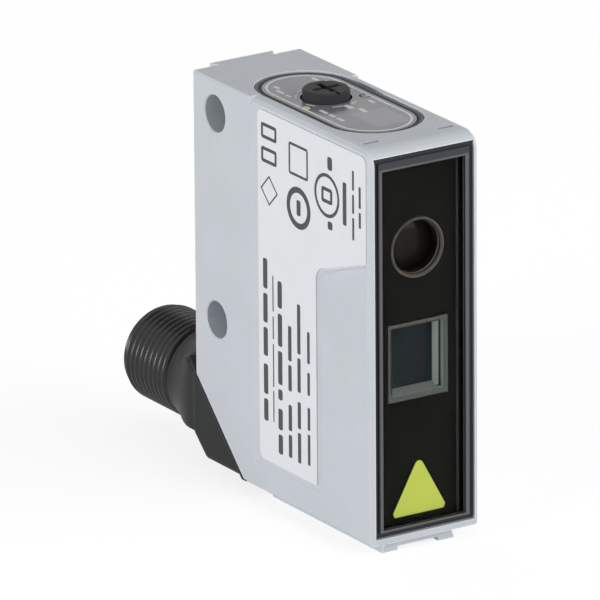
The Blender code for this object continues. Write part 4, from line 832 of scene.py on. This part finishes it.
class SENSOR_OT_plate_print(bpy.types.Operator):
    """Plain bars and simple shapes in place of the name plate's print."""

    bl_idname = "sensor.plate_print"
    bl_label = "Name plate print"

    def execute(self, context):
        face = PLATE_LOW.x + INK_SUNK
        shapes = []

        def place(points):
            return [(face, PLATE_HIGH.y - a * MM, PLATE_LOW.z + b * MM) for a, b in points]

        for middle, half, spans in PLATE_BARS:
            for start, end in spans:
                reach = (end - start) / 2
                shapes.append(printed_shape(place(rounded((middle, start + reach), (half, reach), half * 0.6))))
        for centre, half, line in PLATE_FRAMES:
            shapes.append(printed_shape(place(rounded(centre, half, 0.35)), line * MM))
        for centre, radius, line in PLATE_RINGS:
            shapes.append(printed_shape(place(ring_points(centre, radius)), line * MM))
        centre, radius, line = PLATE_DIAMOND
        shapes.append(printed_shape(place(ring_points(centre, radius, steps=4)), line * MM))
        shapes.append(printed_shape(place(rounded(*PLATE_BLOCK, 0.25))))
        piece = printed_layer("plate_print", shapes, (-INK_HEIGHT, 0.0, 0.0))
        finish_piece(piece, "sensor", "plate_foil", look="dark_ink")
        return {"FINISHED"}


# Plain bars on the control window: centre and half size on X and Y, in mm
WINDOW_BARS = (
    ((-2.75, -1.5), (0.24, 0.55)), ((-3.35, -3.2), (0.26, 0.8)), ((-3.4, -5.0), (0.22, 0.55)),
    ((-3.25, -12.3), (0.26, 0.8)), ((-3.25, -14.1), (0.26, 0.6)), ((-3.2, -15.8), (0.26, 0.7)),
    ((2.7, -1.3), (0.26, 0.6)), ((3.4, -3.1), (0.28, 0.8)), ((3.6, -5.0), (0.22, 0.6)),
    ((3.5, -12.1), (0.22, 0.6)), ((0.2, -12.3), (0.34, 0.8)), ((0.85, -14.3), (0.30, 0.75)))
# Parts of rings round the knob: radius, first angle and turn in degrees
WINDOW_ARCS = ((3.85, 62, 56), (3.85, 248, 22), (3.85, 284, 18), (3.55, 128, 24), (3.55, 18, 22), (3.55, 196, 20))


class SENSOR_OT_window_print(bpy.types.Operator):
    """Oval line, arcs round the knob and plain bars on the control window."""

    bl_idname = "sensor.window_print"
    bl_label = "Control window print"

    def execute(self, context):
        sizes = context.scene.sensor_sizes
        face = WINDOW_HIGH.z - INK_SUNK
        radius = (WINDOW_HIGH.x - WINDOW_LOW.x) / 2 - OVAL_INSET
        knob_y = (KNOB_LOW.y + KNOB_HIGH.y) / 2
        reach = (WINDOW_HIGH.y - WINDOW_LOW.y) / 2 - OVAL_INSET - radius
        middle = (WINDOW_LOW.y + WINDOW_HIGH.y) / 2
        oval = ring_points((0.0, middle + reach), radius, 0, 180, 24)
        oval += ring_points((0.0, middle - reach), radius, 180, 180, 24)
        shapes = [printed_shape([(x, y, face) for x, y in oval], sizes.print_line)]
        for centre, half in WINDOW_BARS:
            loop = rounded(centre, half, half[0] * 0.6)
            shapes.append(printed_shape([(x * MM, y * MM, face) for x, y in loop]))
        for distance, first, turn in WINDOW_ARCS:
            steps = max(4, turn // 5)
            outer = ring_points((0.0, knob_y), (distance + ARC_HALF) * MM, first, turn, steps)
            inner = ring_points((0.0, knob_y), (distance - ARC_HALF) * MM, first, turn, steps)
            shapes.append(printed_shape([(x, y, face) for x, y in outer + inner[::-1]]))
        piece = printed_layer("window_print", shapes, (0.0, 0.0, INK_HEIGHT))
        finish_piece(piece, "sensor", "window_plastic", look="pale_ink")
        return {"FINISHED"}


def softbox(name, place, size, watts):
    """A soft studio lamp that faces the middle of the housing."""
    select_none()
    bpy.ops.object.light_add(type="AREA", location=place)
    lamp_object = bpy.context.object
    lamp_object.name = name
    lamp_object.data.shape = "RECTANGLE"
    lamp_object.data.size, lamp_object.data.size_y = size
    lamp_object.data.energy = watts
    lamp_object.rotation_mode = "QUATERNION"
    lamp_object.rotation_quaternion = (Vector(place) - FOCUS).to_track_quat("Z", "Y")


def white_to_eye(tree):
    """1 for camera, glossy and transmission rays, which see the plain white studio."""
    path = tree.nodes.new("ShaderNodeLightPath")
    total = path.outputs["Is Camera Ray"]
    for name in ("Is Glossy Ray", "Is Transmission Ray"):
        join = tree.nodes.new("ShaderNodeMath")
        join.operation = "MAXIMUM"
        tree.links.new(total, join.inputs[0])
        tree.links.new(path.outputs[name], join.inputs[1])
        total = join.outputs[0]
    return total


class SENSOR_OT_stage(bpy.types.Operator):
    """Plain pale floor, soft light and the camera at the photograph's angle."""

    bl_idname = "sensor.stage"
    bl_label = "Studio and camera"

    def execute(self, context):
        scene = context.scene
        self.add_floor()
        self.add_world(scene)
        for light in LIGHTS:
            softbox(*light)
        self.add_camera(scene)
        scene.view_settings.view_transform = "Standard"
        return {"FINISHED"}

    def add_floor(self):
        """Pale floor that keeps the object's shadow."""
        select_none()
        bpy.ops.mesh.primitive_grid_add(x_subdivisions=8, y_subdivisions=8, size=FLOOR_SIZE, location=(0.0, 0.0, 0.0))
        floor = start_piece("studio_floor")
        made = bpy.data.materials.new("studio_floor")
        made.use_nodes = True
        tree = made.node_tree
        tree.nodes.remove(tree.nodes["Principled BSDF"])
        plain, pale, glow, add, mix = (tree.nodes.new(kind) for kind in (
            "ShaderNodeBsdfDiffuse", "ShaderNodeBsdfDiffuse", "ShaderNodeEmission", "ShaderNodeAddShader",
            "ShaderNodeMixShader"))
        plain.inputs["Color"].default_value = (FLOOR_PLAIN, FLOOR_PLAIN, FLOOR_PLAIN, 1.0)
        pale.inputs["Color"].default_value = (FLOOR_PALE, FLOOR_PALE, FLOOR_PALE, 1.0)
        glow.inputs["Strength"].default_value = FLOOR_GLOW
        tree.links.new(pale.outputs[0], add.inputs[0])
        tree.links.new(glow.outputs[0], add.inputs[1])
        tree.links.new(white_to_eye(tree), mix.inputs["Fac"])
        tree.links.new(plain.outputs[0], mix.inputs[1])
        tree.links.new(add.outputs[0], mix.inputs[2])
        tree.links.new(mix.outputs[0], tree.nodes["Material Output"].inputs["Surface"])
        floor.data.materials.append(made)

    def add_world(self, scene):
        """Soft daylight for the object, and white for the eye."""
        world = bpy.data.worlds.new("studio")
        world.use_nodes = True
        tree = world.node_tree
        soft = tree.nodes["Background"]
        soft.inputs["Color"].default_value = (1.0, 1.0, 1.0, 1.0)
        soft.inputs["Strength"].default_value = DAYLIGHT
        white = tree.nodes.new("ShaderNodeBackground")
        white.inputs["Strength"].default_value = 1.0
        white.inputs["Color"].default_value = (1.0, 1.0, 1.0, 1.0)
        mix = tree.nodes.new("ShaderNodeMixShader")
        tree.links.new(white_to_eye(tree), mix.inputs["Fac"])
        tree.links.new(soft.outputs[0], mix.inputs[1])
        tree.links.new(white.outputs[0], mix.inputs[2])
        tree.links.new(mix.outputs[0], tree.nodes["World Output"].inputs["Surface"])
        scene.world = world

    def add_camera(self, scene):
        """The photograph's camera."""
        azimuth, elevation, roll = (math.radians(angle) for angle in (CAMERA_AZIMUTH, CAMERA_ELEVATION, CAMERA_ROLL))
        out = Vector((-math.sin(azimuth) * math.cos(elevation), -math.cos(azimuth) * math.cos(elevation),
                      math.sin(elevation)))
        right = Vector((math.cos(azimuth), -math.sin(azimuth), 0.0))
        above = out.cross(right)
        right, above = (right * math.cos(roll) + above * math.sin(roll),
                        above * math.cos(roll) - right * math.sin(roll))
        select_none()
        bpy.ops.object.camera_add(location=FOCUS + out * scene.sensor_sizes.camera_distance)
        camera = bpy.context.object
        camera.name = "camera"
        camera.rotation_mode = "QUATERNION"
        camera.rotation_quaternion = Matrix((right, above, out)).transposed().to_quaternion()
        camera.data.sensor_width = CAMERA_SENSOR
        camera.data.lens = CAMERA_LENS
        camera.data.shift_x, camera.data.shift_y = CAMERA_SHIFT
        camera.data.clip_start, camera.data.clip_end = 0.05, 20.0
        scene.camera = camera


class SENSOR_PT_dressing(bpy.types.Panel):
    """Lists the sensor's sizes, colours and making steps."""

    bl_idname = "SENSOR_PT_dressing"
    bl_label = "Distance sensor"
    bl_space_type = "VIEW_3D"
    bl_region_type = "UI"
    bl_category = "Sensor"

    def draw(self, context):
        layout = self.layout
        for group in (context.scene.sensor_sizes, context.scene.sensor_colours):
            box = layout.box()
            for name in group.bl_rna.properties.keys():
                if name not in ("rna_type", "name"):
                    box.prop(group, name)
        for operator in STEPS:
            layout.operator(operator.bl_idname)


STEPS = (SENSOR_OT_finishes, SENSOR_OT_thread, SENSOR_OT_plate_print, SENSOR_OT_window_print, SENSOR_OT_stage)
CLASSES = (SensorSizes, SensorColours, *STEPS, SENSOR_PT_dressing)


def register():
    for item in CLASSES:
        bpy.utils.register_class(item)
    bpy.types.Scene.sensor_sizes = bpy.props.PointerProperty(type=SensorSizes)
    bpy.types.Scene.sensor_colours = bpy.props.PointerProperty(type=SensorColours)


def unregister():
    del bpy.types.Scene.sensor_colours
    del bpy.types.Scene.sensor_sizes
    for item in reversed(CLASSES):
        bpy.utils.unregister_class(item)


def main():
    register()
    for operator in STEPS:
        family, name = operator.bl_idname.split(".")
        getattr(getattr(bpy.ops, family), name)()


if __name__ == "__main__":
    main()
